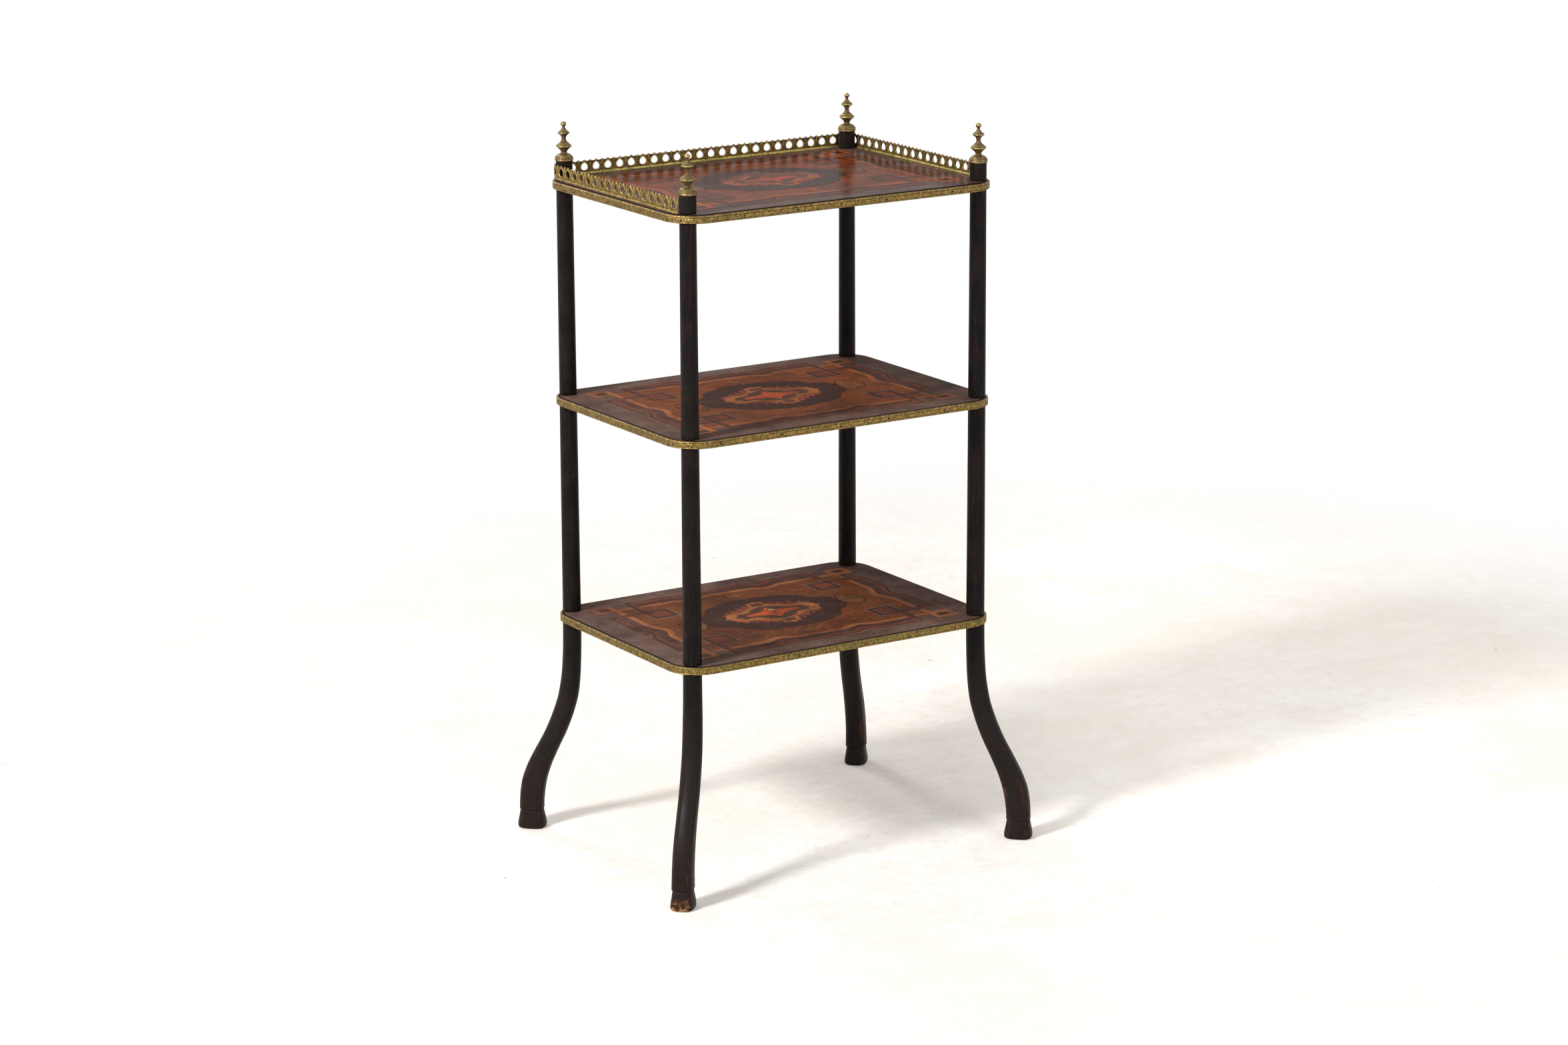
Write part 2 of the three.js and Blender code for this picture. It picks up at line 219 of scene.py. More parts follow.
class Nodes:
    """A material's node tree and its colour so far, with short calls for the nodes used here."""

    def __init__(self, name, tone):
        self.material = bpy.data.materials.new(name)
        self.material.use_nodes = True
        self.tree = self.material.node_tree
        self.shader = self.tree.nodes["Principled BSDF"]
        self.place = self.add("TexCoord", {}).outputs["Object"]
        self.colour = linear(*tone)

    def add(self, kind, inputs, **settings):
        made = self.tree.nodes.new(f"ShaderNode{kind}")
        for key, value in settings.items():
            setattr(made, key, value)
        for socket, value in inputs.items():
            self.put(made.inputs[socket], value)
        return made

    def put(self, socket, value):
        if isinstance(value, bpy.types.NodeSocket):
            self.tree.links.new(value, socket)
        else:
            socket.default_value = value

    def value(self, name, output="Fac"):
        return self.add("Attribute", {}, attribute_name=name).outputs[output]

    def noise(self, scale, detail=3, roughness=0.55, distortion=0, vector=None, turn=0):
        """Noise over the object or over a given vector, stretched where the scale has three parts."""
        vector = vector or self.place
        if isinstance(scale, tuple):
            vector = self.add("Mapping", {0: vector, "Scale": scale, "Rotation": (0, 0, turn)}).outputs[0]
            scale = 1
        inputs = {"Scale": scale, "Detail": detail, "Roughness": roughness, "Distortion": distortion}
        return self.add("TexNoise", {"Vector": vector, **inputs}).outputs[0]

    def cells(self, scale, dimensions="3D"):
        inputs = {"Vector": self.place, "Scale": scale}
        return self.add("TexVoronoi", inputs, voronoi_dimensions=dimensions).outputs["Distance"]

    def range(self, value, low, high, to_low=0, to_high=1):
        inputs = dict(enumerate((value, low, high, to_low, to_high)))
        return self.add("MapRange", inputs, interpolation_type="SMOOTHSTEP").outputs[0]

    def math(self, operation, first, second=0):
        return self.add("Math", {0: first, 1: second}, operation=operation).outputs[0]

    def plus(self, first, second):
        return self.math("ADD", first, second)

    def product(self, result, *factors):
        for factor in factors:
            result = self.math("MULTIPLY", result, factor)
        return result

    def size(self, value):
        return self.math("ABSOLUTE", value)

    def vector(self, operation, first, second=(0, 0, 0), output="Vector"):
        return self.add("VectorMath", {0: first, 1: second}, operation=operation).outputs[output]

    def split(self):
        return self.add("SeparateXYZ", {0: self.place}).outputs[:]

    def mix(self, mask, first, second, blend="MIX"):
        inputs = {0: mask, 6: first, 7: second}
        return self.add("Mix", inputs, data_type="RGBA", blend_type=blend).outputs[2]

    def lay(self, mask, tone):
        """Mixes a tone into the colour so far by a mask."""
        self.colour = self.mix(mask, self.colour, linear(*tone))

    def tint(self, value, low, high, share, tone):
        """Mixes a tone in where a value is high, by a share at most."""
        self.lay(self.range(value, low, high, 0, share), tone)

    def shade(self, roughness, metallic=0, specular=0.5):
        for socket, value in {
            "Base Color": self.colour,
            "Roughness": roughness,
            "Metallic": metallic,
            "Specular IOR Level": specular,
        }.items():
            self.put(self.shader.inputs[socket], value)
        return self.material

    def bump(self, height, strength, distance):
        made = self.add("Bump", {"Height": height, "Strength": strength, "Distance": distance * MM})
        self.put(self.shader.inputs["Normal"], made.outputs[0])


def ebonised_wood():
    """Black stained and waxed wood, brown where it is rubbed, with worm holes and a faint grain."""
    made = Nodes("ebonised_wood", (17, 15, 14))
    wear = made.value("wear")
    grain = made.noise((900, 900, 40), 4)
    clouds = made.noise(28)
    specks = made.noise(700, 4, 0.7)
    rubbed = made.noise((260, 260, 30), 4, 0.65)
    streaks = made.noise((380, 380, 7), 3, 0.6)
    patches = made.noise(120, 5, 0.7)
    made.tint(clouds, 0.35, 0.7, 1, (27, 23, 21))
    made.tint(grain, 0.5, 0.75, 0.35, (52, 36, 30))
    made.tint(streaks, 0.6, 0.7, 0.35, (60, 36, 30))
    # Lighter brown towards the bottom of the legs, by height alone.
    made.lay(made.range(made.split()[2], 0.1, 0.3, 0.42, 0), (44, 36, 33))
    made.lay(made.product(made.range(rubbed, 0.52, 0.7), made.range(wear, 0.1, 0.6)), (76, 44, 34))
    worn = made.plus(wear, made.range(patches, 0.3, 0.7, -0.3, 0.25))
    bare = made.product(made.range(specks, 0.4, 0.58), made.range(worn, 0.62, 0.95))
    bare_wood = made.mix(made.range(worn, 0.82, 1.05), linear(104, 56, 36), linear(190, 142, 88))
    made.colour = made.mix(bare, made.colour, bare_wood)
    holes = made.plus(made.cells(85), made.range(patches, 0.5, 0.62, 1, 0))
    made.lay(made.range(holes, 0.1, 0.15, 0.7, 0), (92, 72, 58))
    made.lay(made.range(holes, 0.07, 0.09, 1, 0), (4, 3, 3))
    made.bump(made.plus(grain, specks), 0.32, 0.25)
    roughness = made.plus(made.range(clouds, 0.3, 0.7, 0.34, 0.5), made.product(bare, 0.35))
    return made.shade(roughness, specular=0.08)


def carcase_wood():
    """Plain stained boards under the veneer, with a straight grain."""
    made = Nodes("carcase_wood", (52, 36, 27))
    grain = made.noise((10, 240, 240), 5, 0.6, 0.4)
    pores = made.noise((90, 1800, 1800), 2)
    made.tint(grain, 0.3, 0.72, 1, (86, 62, 44))
    made.tint(pores, 0.56, 0.66, 0.6, (34, 23, 18))
    made.bump(made.plus(grain, pores), 0.25, 0.3)
    return made.shade(0.62, specular=0.1)


# Scratches in the varnish: shelf, both ends and half width
SCRATCHES = (
    ("middle", (-172, 42), (-66, 8), 0.7),
    ("middle", (-40, -120), (22, -96), 0.35),
    ("middle", (60, 30), (150, -52), 0.3),
    ("bottom", (-120, -90), (-52, -60), 0.35),
    ("bottom", (30, 96), (110, 70), 0.4),
    ("top", (-90, -30), (-20, -70), 0.3),
)


def scratch_mask(made, shelf, start, end, width):
    """1 along a straight scratch on a shelf, between two points of it in millimetres."""
    along = Vector((end[0] - start[0], end[1] - start[1], 0)) * MM
    length = along.length
    along.normalize()
    offset = made.vector("SUBTRACT", made.place, Vector((*start, SHELF_TOP[shelf])) * MM)
    directions = (along, UP.cross(along), UP)
    run, aside, above = (made.vector("DOT_PRODUCT", offset, way, "Value") for way in directions)
    return made.product(
        made.range(made.size(aside), 0, width * MM, 1, 0),
        made.range(made.size(above), 2 * MM, 4 * MM, 1, 0),
        made.range(run, 0, 0.3 * length),
        made.range(run, 0.7 * length, length, 1, 0),
    )


# Where crumbs lie along the gallery, in metres from the middle of the stand
CRUMBS_BESIDE = (0.208, 0.214)
CRUMBS_BEHIND = (0.145, 0.151)
CRUMBS_ABOVE = (0.85, 0.86)

# Values for the duller lower shelves and for the glossier top one. The dust and bloom shares also scale the
# painted sheen towards the left.
DUST_AND_SHEEN_SHARES = (0.34, 0.1)
BLOOM_AND_SHEEN_SHARES = (1, 0.2)
VARNISH_ROUGHNESS = ((0.42, 0.58), (0.12, 0.26))
VARNISH_SPECULAR = (0.006, 0.0055)


def weather_varnish(made, haze, left_sheen, glossy):
    """Dust towards the rim, painted sheen towards the left, dull patches, crumbs along the gallery, and
    scratches.
    """
    x, y, z = made.split()
    near_side = made.range(made.size(x), 0.6 * SHELF_HALF[0] * MM, SHELF_HALF[0] * MM)
    near_end = made.range(made.size(y), 0.6 * SHELF_HALF[1] * MM, SHELF_HALF[1] * MM)
    rim = made.math("MAXIMUM", near_side, near_end)
    dust_and_sheen = made.product(made.range(haze, 0.3, 0.75), made.plus(rim, 0.2))
    # Painted sheen: the varnish is lightened towards the left, standing in for the key lamp's glare, on top
    # of the dust.
    dust_and_sheen = made.plus(dust_and_sheen, made.product(left_sheen, made.range(haze, 0.2, 0.6, 0.5, 1)))
    made.lay(made.product(dust_and_sheen, DUST_AND_SHEEN_SHARES[glossy]), (138, 110, 98))
    made.tint(made.noise(13, 6, 0.68, 0.8), 0.38, 0.66, 0.6, (54, 34, 27))
    specks = made.range(made.noise(900, 2, 0.6), 0.63, 0.72)
    made.lay(made.product(specks, made.range(haze, 0.45, 0.62), 0.6), (200, 182, 166))
    beside = made.range(made.size(x), *CRUMBS_BESIDE)
    by_gallery = made.math("MAXIMUM", beside, made.range(y, *CRUMBS_BEHIND))
    crumbs = made.range(made.noise(480, 1), 0.69, 0.75, 0, 0.55)
    made.lay(made.product(by_gallery, made.range(z, *CRUMBS_ABOVE), crumbs), (214, 208, 198))
    scratches = 0
    for scratch in SCRATCHES:
        scratches = made.math("MAXIMUM", scratches, scratch_mask(made, *scratch))
    broken = made.range(made.noise(220), 0.3, 0.6, 0.3, 1)
    made.lay(made.product(scratches, broken, 0.75), (168, 140, 124))


def veneer(name, light, dark, streak, grain_size=1, figure=0, edge=False, glossy=False):
    """Varnished veneer: its grain follows each inlay's run, and a figure curls it as in a burr."""
    made = Nodes(f"{name}_glossy" if glossy else name, dark)
    grain = made.value("grain", "Vector")
    swirl = made.noise((0.022, 0.04, 1), 2, 0.5, vector=grain)
    streaks = made.noise((0.012 * grain_size, 0.3 * grain_size, 1), 5, 0.62, 0.5 + 4 * figure, grain)
    fine = made.noise((0.09, 2.2, 1), 3, 0.6, 0.3 + figure, grain)
    pores = made.noise((0.5, 4 if figure else 7, 1), 1, vector=grain)
    made.tint(streaks, 0.32, 0.68, 1, light)
    made.tint(swirl, 0.45, 0.7, 0.5, streak)
    made.tint(fine, 0.5, 0.72, 0.45, dark)
    made.tint(pores, 0.57, 0.7, 0.62, (18, 13, 10))
    if figure:
        curls = made.math("SUBTRACT", made.noise((0.035, 0.11, 1), 6, 0.62, 1.6, grain), 0.5)
        made.lay(made.range(made.size(curls), 0, 0.035, 0.6, 0), (46, 24, 14))
    made.colour = made.mix(1, made.colour, made.value("tint", "Vector"), "MULTIPLY")
    haze = made.noise(34, 8, 0.75)
    # Painted sheen: lighter towards the left of the shelves, standing in for the key lamp's glare on the
    # varnish.
    left_sheen = made.range(made.split()[0], -0.2, 0.1, 0.3, 0)
    weather_varnish(made, haze, left_sheen, glossy)
    if edge:
        bloom_and_sheen = made.range(made.noise(8, 6, 0.72), 0.42, 0.74, 0, 0.34)
        # Painted sheen: the border's left side is lightened further, on top of the varnish bloom.
        bloom_and_sheen = made.plus(bloom_and_sheen, made.product(left_sheen, 0.25))
        made.lay(made.product(bloom_and_sheen, BLOOM_AND_SHEEN_SHARES[glossy]), (140, 116, 108))
        made.lay(made.value("stained"), (30, 24, 22))
    made.bump(made.plus(fine, made.product(pores, 0.5)), 0.1, 0.12)
    roughness = made.range(haze, 0.3, 0.7, *VARNISH_ROUGHNESS[glossy])
    return made.shade(roughness, specular=VARNISH_SPECULAR[glossy])


def aged_brass(name, high, low, deep, greenness, dull, bright):
    """Cast brass: rubbed bright on the high places, brown and green in the low ones."""
    made = Nodes(name, deep)
    verdigris = made.value("verdigris")
    clouds = made.noise(60, 4, 0.6)
    grit = made.noise(900, 3, 0.6)
    rubbing = made.noise(230, 4, 0.7)
    height = made.plus(made.value("relief"), made.range(grit, 0.3, 0.7, -0.15, 0.15))
    height = made.plus(height, made.range(rubbing, 0.3, 0.7, -0.3, 0.2))
    made.tint(height, 0.05, 0.45, 1, low)
    made.tint(height, 0.45, 0.95, 1, high)
    green = made.plus(verdigris, greenness)
    made.lay(made.product(made.range(clouds, 0.4, 0.65), green), (96, 98, 50))
    crust = made.product(made.range(verdigris, 0.5, 1), made.range(rubbing, 0.3, 0.6, 1, 0.6))
    made.lay(crust, (156, 154, 62))
    made.tint(made.noise(190, 4, 0.6), 0.5, 0.68, 0.7, (84, 62, 36))
    made.bump(grit, 0.2, 0.12)
    metal = made.math("SUBTRACT", made.range(height, 0, 0.5, 0.55, 0.92), made.product(crust, 0.6))
    return made.shade(made.range(height, 0.2, 0.9, dull, bright), metal)


def dark_pin():
    """Oxidised steel or brass pins, nearly black."""
    made = Nodes("dark_pin", (26, 20, 16))
    made.tint(made.noise(900), 0.4, 0.7, 1, (62, 46, 30))
    return made.shade(0.55, 0.5)


# Each wood's piece and slot, its material and its light, dark and streak tones
WOODS = {
    "field": ("field", "burr_veneer", "burr", (144, 80, 38), (70, 37, 20), (118, 58, 26), 1.6, 1),
    "purple": ("strap_ground", "rosewood_veneer", "dark_rosewood", (86, 56, 48), (50, 31, 28), (72, 44, 40)),
    "light": ("light_strap", "burr_veneer", "light_strap_wood", (162, 98, 58), (112, 64, 38), (146, 90, 54)),
    "line": ("dark_lines", "dark_inlay", "line_wood", (56, 38, 32), (34, 22, 19), (48, 30, 26)),
    "red": ("red_strap", "rosewood_veneer", "red_strap_wood", (118, 58, 42), (80, 39, 31), (128, 66, 46)),
    "pale": ("strap_margin", "rosewood_veneer", "margin_wood", (118, 88, 68), (86, 60, 46), (106, 78, 60)),
    "dark": ("cartouche", "dark_inlay", "cartouche_wood", (60, 36, 31), (34, 21, 20), (50, 30, 27)),
    "tan": ("leaf_frame", "burr_veneer", "leaf_wood", (166, 102, 55), (112, 66, 37), (148, 90, 48)),
    "star": ("star", "burr_veneer", "star_wood", (186, 84, 46), (132, 56, 32), (166, 72, 42)),
    "ground": ("inner_ground", "dark_inlay", "inner_ground_wood", (88, 60, 49), (60, 40, 33), (78, 52, 42)),
    "shell": ("shells", "burr_veneer", "shell_wood", (130, 82, 48), (82, 50, 31), (112, 70, 42)),
}
WOODS["seam"] = ("seams", "dark_inlay", "seam_wood", *WOODS["line"][3:])
BORDER_WOOD = ("rosewood", (94, 67, 58), (64, 44, 39), (108, 81, 72), 1, 0, True)


def veneers(glossy):
    """All veneer materials of a shelf, by their kind."""
    made = {kind: veneer(*wood[2:], glossy=glossy) for kind, wood in WOODS.items()}
    return {**made, "border": veneer(*BORDER_WOOD, glossy=glossy)}


EBONISED = ebonised_wood()
CARCASE = carcase_wood()
DULL_WOODS = veneers(False)
SHELF_WOODS = {"bottom": DULL_WOODS, "middle": DULL_WOODS, "top": veneers(True)}
SHELF_TINTS = {"bottom": (1.16, 1.14, 1.12), "middle": (1.12, 1.02, 0.94), "top": (1.02, 0.66, 0.44)}
BAND_BRASS = aged_brass("band_brass", (182, 152, 88), (122, 98, 54), (42, 32, 19), 0.18, 0.6, 0.42)
GALLERY_BRASS = aged_brass("gallery_brass", (192, 163, 95), (134, 109, 61), (64, 47, 26), 0.22, 0.6, 0.44)
FINIAL_BRASS = aged_brass("finial_brass", (174, 150, 104), (122, 101, 66), (90, 61, 39), 0.45, 0.62, 0.44)
PIN = dark_pin()


# Posts, stubs, finials and legs

FOOT_WIDTH = 23.7
WAIST_WIDTH = 22.3
HEAD_WIDTH = 21
SEATED = 0.4
FOOT_BEVEL = 1.25
HEAD_BEVEL = 0.6
# How far a post is worn at shares of its length
POST_WEAR = {0.02: 0.3, **dict.fromkeys((0.06, 0.2, 0.35, 0.5, 0.65, 0.8, 0.94), 0.24), 0.98: 0.3}
# Posts: piece, node, lower and upper end, and the diameters there
POSTS = (
    ("lower_post", "lower_post", SHELF_TOP["bottom"], SHELF_UNDERSIDE["middle"], FOOT_WIDTH, WAIST_WIDTH),
    ("upper_post", "upper_post", SHELF_TOP["middle"], SHELF_UNDERSIDE["top"], WAIST_WIDTH, HEAD_WIDTH),
    ("stub", "post_stub", SHELF_TOP["top"], SEAT, STUB_DIAMETER, STUB_DIAMETER),
)


def post_outline(foot_radius, head_radius, length):
    """The outline of a post section, seated a little into the shelf, its foot and head rounded."""
    foot = foot_radius - FOOT_BEVEL
    head = head_radius - HEAD_BEVEL
    outline = [(foot, -SEATED, 0.2)]
    for cosine, sine in unit(np.linspace(0, RIGHT_ANGLE, 5)):
        outline.append((foot + FOOT_BEVEL * sine, FOOT_BEVEL - FOOT_BEVEL * cosine, 0.25))
    for share, wear in POST_WEAR.items():
        outline.append((foot_radius + (head_radius - foot_radius) * share, share * length, wear))
    for cosine, sine in unit(np.linspace(0, RIGHT_ANGLE, 4)):
        outline.append((head + HEAD_BEVEL * cosine, length - HEAD_BEVEL + HEAD_BEVEL * sine, 0.35))
    return outline


def add_posts():
    for corner, place in POST_PLACES.items():
        for name, node, low, high, foot, head in POSTS:
            name = f"turned_{name}.{corner}"
            outline = post_outline(foot / 2, head / 2, high - low)
            add_turned(name, outline, (*place, low), EBONISED, "ebonised_wood", f"{node}_{corner}")


FINIAL_RADIUS = 11.75
TIP_RADIUS = 0.1
# Finial from its seat to the tip: share of its height, share of its radius, how bright it is rubbed
FINIAL_SHARES = (
    (0, 0.92, 0.2), (0.012, 0.985, 0.5), (0.035, 1, 0.75), (0.055, 0.975, 0.4), (0.06, 0.965, 0.15),
    (0.067, 0.985, 0.5), (0.085, 0.985, 0.6), (0.1, 0.97, 0.4), (0.106, 0.93, 0.1), (0.115, 0.9, 0.35),
    (0.14, 0.83, 0.6), (0.165, 0.7, 0.6), (0.182, 0.52, 0.3), (0.196, 0.37, 0.1), (0.215, 0.325, 0.1),
    (0.24, 0.33, 0.2), (0.27, 0.4, 0.15), (0.292, 0.5, 0.2), (0.298, 0.51, 0.05), (0.31, 0.565, 0.4),
    (0.335, 0.68, 0.5), (0.355, 0.79, 0.6), (0.366, 0.825, 0.9), (0.378, 0.84, 1), (0.39, 0.825, 0.9),
    (0.4, 0.79, 0.5), (0.404, 0.765, 0.1), (0.412, 0.74, 0.4), (0.44, 0.6, 0.5), (0.47, 0.46, 0.4),
    (0.476, 0.425, 0.1), (0.5, 0.33, 0.2), (0.535, 0.255, 0.15), (0.57, 0.235, 0.1), (0.6, 0.255, 0.15),
    (0.63, 0.31, 0.25), (0.637, 0.32, 0.05), (0.66, 0.43, 0.5), (0.685, 0.57, 0.6), (0.697, 0.625, 0.9),
    (0.71, 0.642, 1), (0.722, 0.625, 0.9), (0.732, 0.58, 0.4), (0.737, 0.56, 0.1), (0.76, 0.43, 0.5),
    (0.79, 0.3, 0.4), (0.83, 0.19, 0.2), (0.862, 0.145, 0.1), (0.88, 0.17, 0.2), (0.9, 0.25, 0.5),
    (0.922, 0.3, 0.8), (0.942, 0.312, 1), (0.962, 0.29, 0.9), (0.98, 0.22, 0.8), (0.992, 0.13, 0.8),
    (0.9985, 0.045, 0.8),
)


def add_finials():
    places, radii, brightness = np.array(FINIAL_SHARES).T
    at = np.sort([*places, *(places[:-1] + places[1:]) / 2, 1])
    inner = np.minimum(at, places[-1])
    radius = smooth_curve(places, radii, inner) * FINIAL_RADIUS
    radius[-1] = TIP_RADIUS
    bright = smooth_curve(places, brightness, inner)
    outline = np.stack([radius, at * (TIP - SEAT), bright], axis=1)
    for corner, place in POST_PLACES.items():
        add_turned(
            f"turned_finial.{corner}", outline, (*place, SEAT), FINIAL_BRASS, "aged_brass",
            f"finial_{corner}", value="relief", sharp=60,
        )


FOOT_KICK = 58.9
LEG_TOP_RADIUS = 12
LEG_SIDES = 56
HOOF_HEIGHT = 25
# Stations up the hoof: height, kick, widths along and across the diagonal, and squareness
HOOF_STATIONS = (
    (0, 1, 1.4, 1.15, 2.9),
    (0.5, 1, 1.46, 1.2, 2.9),
    (1.6, 1, 1.5, 1.24, 3),
    (4, 1, 1.525, 1.265, 3),
    (8, 1, 1.49, 1.235, 3),
    (17.5, 1, 1.34, 1.115, 3),
    (23, 1, 1.25, 1.05, 3),
    (24, 1, 1.2, 1.015, 3),
    (24.5, 1, 1.19, 1.005, 3),
)
# The same up the shank, with each height as a share of the shank's
SHANK_STATIONS = (
    (0.0005, 1, 1.27, 1.12, 3),
    (0.004, 1, 1.305, 1.155, 3),
    (0.02, 0.999, 1.3, 1.145, 3),
    (0.075, 0.983, 1.32, 1.12, 3),
    (0.145, 0.934, 1.345, 1.1, 3),
    (0.225, 0.82, 1.32, 1.085, 2.9),
    (0.31, 0.645, 1.265, 1.07, 2.7),
    (0.41, 0.42, 1.2, 1.07, 2.5),
    (0.51, 0.24, 1.155, 1.07, 2.3),
    (0.62, 0.1, 1.1, 1.07, 2.1),
    (0.755, 0.028, 1.03, 1.05, 2),
    (0.9, 0.004, 1.005, 1.01, 2),
    (1, 0, 1, 1, 2),
)
# How bare each leg's hoof is rubbed
BARE = {"front_left": 1, "front_right": 0.62, "back_left": 0.5, "back_right": 0.45}


def add_legs():
    length = SHELF_UNDERSIDE["bottom"]
    shank = [(HOOF_HEIGHT + share * (length - HOOF_HEIGHT), *rest) for share, *rest in SHANK_STATIONS]
    places, *stations = np.array([*HOOF_STATIONS, *shank]).T
    rings = ((0, 2, 4), (2, 23, 23), (23, 27, 14), (27, length, 119))
    heights = [np.linspace(low, high, steps, endpoint=False) for low, high, steps in rings]
    level = np.concatenate([*heights, [length]])[:, None]
    kick, along, across, exponent = (smooth_curve(places, station, level) for station in stations)
    cosine, sine = unit(np.arange(LEG_SIDES) / LEG_SIDES * FULL_TURN).T
    power = np.abs(cosine) ** exponent + np.abs(sine) ** exponent
    reach = LEG_TOP_RADIUS / power ** (1 / exponent)
    outwards = kick * FOOT_KICK + along * reach * cosine
    sideways = across * reach * sine
    arris = ridge(np.abs(2 * sine * cosine) - 1, 0.12) * np.clip(exponent - 2, 0, 1) * 0.62
    toe = ease(cosine, 0.1, 0.8) * (0.75 * ease(level, 24, 14) + 0.25 * ease(level, 6, 1))
    sole = ease(level, 5, 0.5) * 0.6
    cuff = ridge(level - 26, 1.2) * 0.35
    faces = solid_faces(len(level), LEG_SIDES)
    for corner, (x, y) in POST_PLACES.items():
        bare = BARE[corner]
        wear = np.maximum.reduce(np.broadcast_arrays(arris, toe * bare, sole * bare, cuff, 0.08))
        turn_x, turn_y = np.array(CORNERS[corner]) / math.sqrt(2)
        points = stacked(
            x + outwards * turn_x - sideways * turn_y,
            y + outwards * turn_y + sideways * turn_x,
            level,
        )
        add_piece(
            f"carved_leg.{corner}", points, faces, EBONISED, "ebonised_wood", f"leg_{corner}",
            values={"wear": wear.ravel()}, sharp=50,
        )


# Shelves: the outline, and a walk along it for what is swept round it

ARC_STEPS = 24
EDGE_POINTS = 4 * (ARC_STEPS + 1)


def shelf_outline(offset):
    """The outline of a shelf, anticlockwise, grown by an offset."""
    arcs = []
    for quarter, sides in enumerate(QUARTERS):
        angle = (quarter + np.arange(ARC_STEPS + 1) / ARC_STEPS) * RIGHT_ANGLE
        arcs.append(sides * (SHELF_HALF - CORNER_RADIUS) + (CORNER_RADIUS + offset) * unit(angle))
    return np.concatenate(arcs)


def shelf_walk(count):
    """Points evenly spaced along a shelf's edge, anticlockwise, with the outward directions."""
    bend = CORNER_RADIUS * RIGHT_ANGLE
    centre = SHELF_HALF - CORNER_RADIUS
    starts = bend * np.arange(5) + np.cumsum([0, *2 * centre, *2 * centre])
    distance = np.arange(count) / count * starts[-1]
    quarter = np.searchsorted(starts, distance, side="right") - 1
    here = distance - starts[quarter]
    normal = unit(quarter * RIGHT_ANGLE + np.minimum(here, bend) / CORNER_RADIUS)
    along = np.stack([-normal[:, 1], normal[:, 0]], axis=1)
    straight = np.maximum(here - bend, 0)[:, None]
    points = np.array(QUARTERS)[quarter] * centre + CORNER_RADIUS * normal + straight * along
    return points, normal, starts[-1]


# Marquetry, laid in thin layers whose tops lie within the veneer

LAYER = 0.03
LAYERS = 11
PLATE_DEPTH = 0.6
SEAM = 0.35


def place_in_wood():
    """A random place in a large sheet of wood."""
    return np.array((random.uniform(0, 4000), random.uniform(0, 4000)))


class Inlay:
    """Thin pieces of one wood let into one shelf, gathered into one mesh."""

    def __init__(self, shelf):
        self.shelf = shelf
        self.points = []
        self.faces = []
        self.grain = []
        self.shades = []

    def add(self, outline, layer, turn=0, grain=None, spread=0.12, bright=1):
        """Adds a piece by its outline, anticlockwise. The grain is turned, or given for a strip."""
        outline = np.asarray(outline, float)
        count = len(outline)
        start = len(self.points)
        upper = start + count
        self.faces.append(tuple(range(upper - 1, start - 1, -1)))
        if grain is None:
            cosine, sine = unit(turn)
            grain = outline @ ((cosine, -sine), (sine, cosine)) + place_in_wood()
            self.faces.append(tuple(range(upper, upper + count)))
        else:
            last = upper + count - 1
            steps = range(count // 2 - 1)
            self.faces += [(upper + i, upper + i + 1, last - i - 1, last - i) for i in steps]
        self.faces += ring_faces(2, count, start)
        depth = random.uniform(0, 900)
        shade = bright * (1 + random.uniform(-spread, spread))
        top = SHELF_TOP[self.shelf] - (LAYERS - layer) * LAYER
        for height in (top - PLATE_DEPTH, top):
            self.points += [(x, y, height) for x, y in outline]
            self.grain += [(u, v, depth) for u, v in grain]
            self.shades += [shade] * count

    def finish(self, name, material, slot, *nodes):
        values = {"grain": self.grain, "tint": np.outer(self.shades, SHELF_TINTS[self.shelf])}
        name = f"{name}_{self.shelf}"
        add_piece(name, self.points, self.faces, material, slot, *nodes, values=values, sharp=30)


def mirrored(outline, quarters=QUARTERS):
    """An outline's images in the given quarters of the board, all anticlockwise."""
    copies = []
    for side_x, side_y in quarters:
        copy = [(side_x * x, side_y * y) for x, y in outline]
        copies.append(copy if side_x * side_y > 0 else copy[::-1])
    return copies


def quarter_outline(quarter):
    """A whole outline from its first quarter, which runs from the x axis to the y axis."""
    points = np.concatenate(mirrored(quarter))
    step = np.roll(points, -1, axis=0) - points
    return points[np.hypot(*step.T) > 0.01]


def both_halves(half):
    """A whole outline from its right half, which runs up the board: then it is anticlockwise."""
    return [*half, *((-x, y) for x, y in reversed(half[1:-1]))]


def grown(outline, distance):
    """An outline moved outwards by a distance."""
    points = np.asarray(outline, float)
    step = np.roll(points, -1, axis=0) - points
    after = np.stack([step[:, 1], -step[:, 0]], axis=1) / np.linalg.norm(step, axis=1)[:, None]
    middle = np.roll(after, 1, axis=0) + after
    middle /= np.maximum(np.linalg.norm(middle, axis=1), 0.4)[:, None]
    cosine = np.clip((middle * after).sum(axis=1), 0.5, 1)
    return points + middle / cosine[:, None] * distance


def rounded(outline, steps=5):
    """A closed smooth outline through the given points."""
    b = np.array(outline, float)
    a, c, d = (np.roll(b, shift, axis=0) for shift in (1, -1, -2))
    bend = 2 * a - 5 * b + 4 * c - d
    twist = 3 * b - a - 3 * c + d
    shares = [step / steps for step in range(steps)]
    rows = [0.5 * (2 * b + (c - a) * t + bend * t * t + twist * t ** 3) for t in shares]
    return np.stack(rows, axis=1).reshape(-1, 2)


PETAL_SHAPE = ((0, 0), (0.3, 0.3), (0.6, 0.75), (0.8, 1), (0.93, 0.72), (1, 0.25))


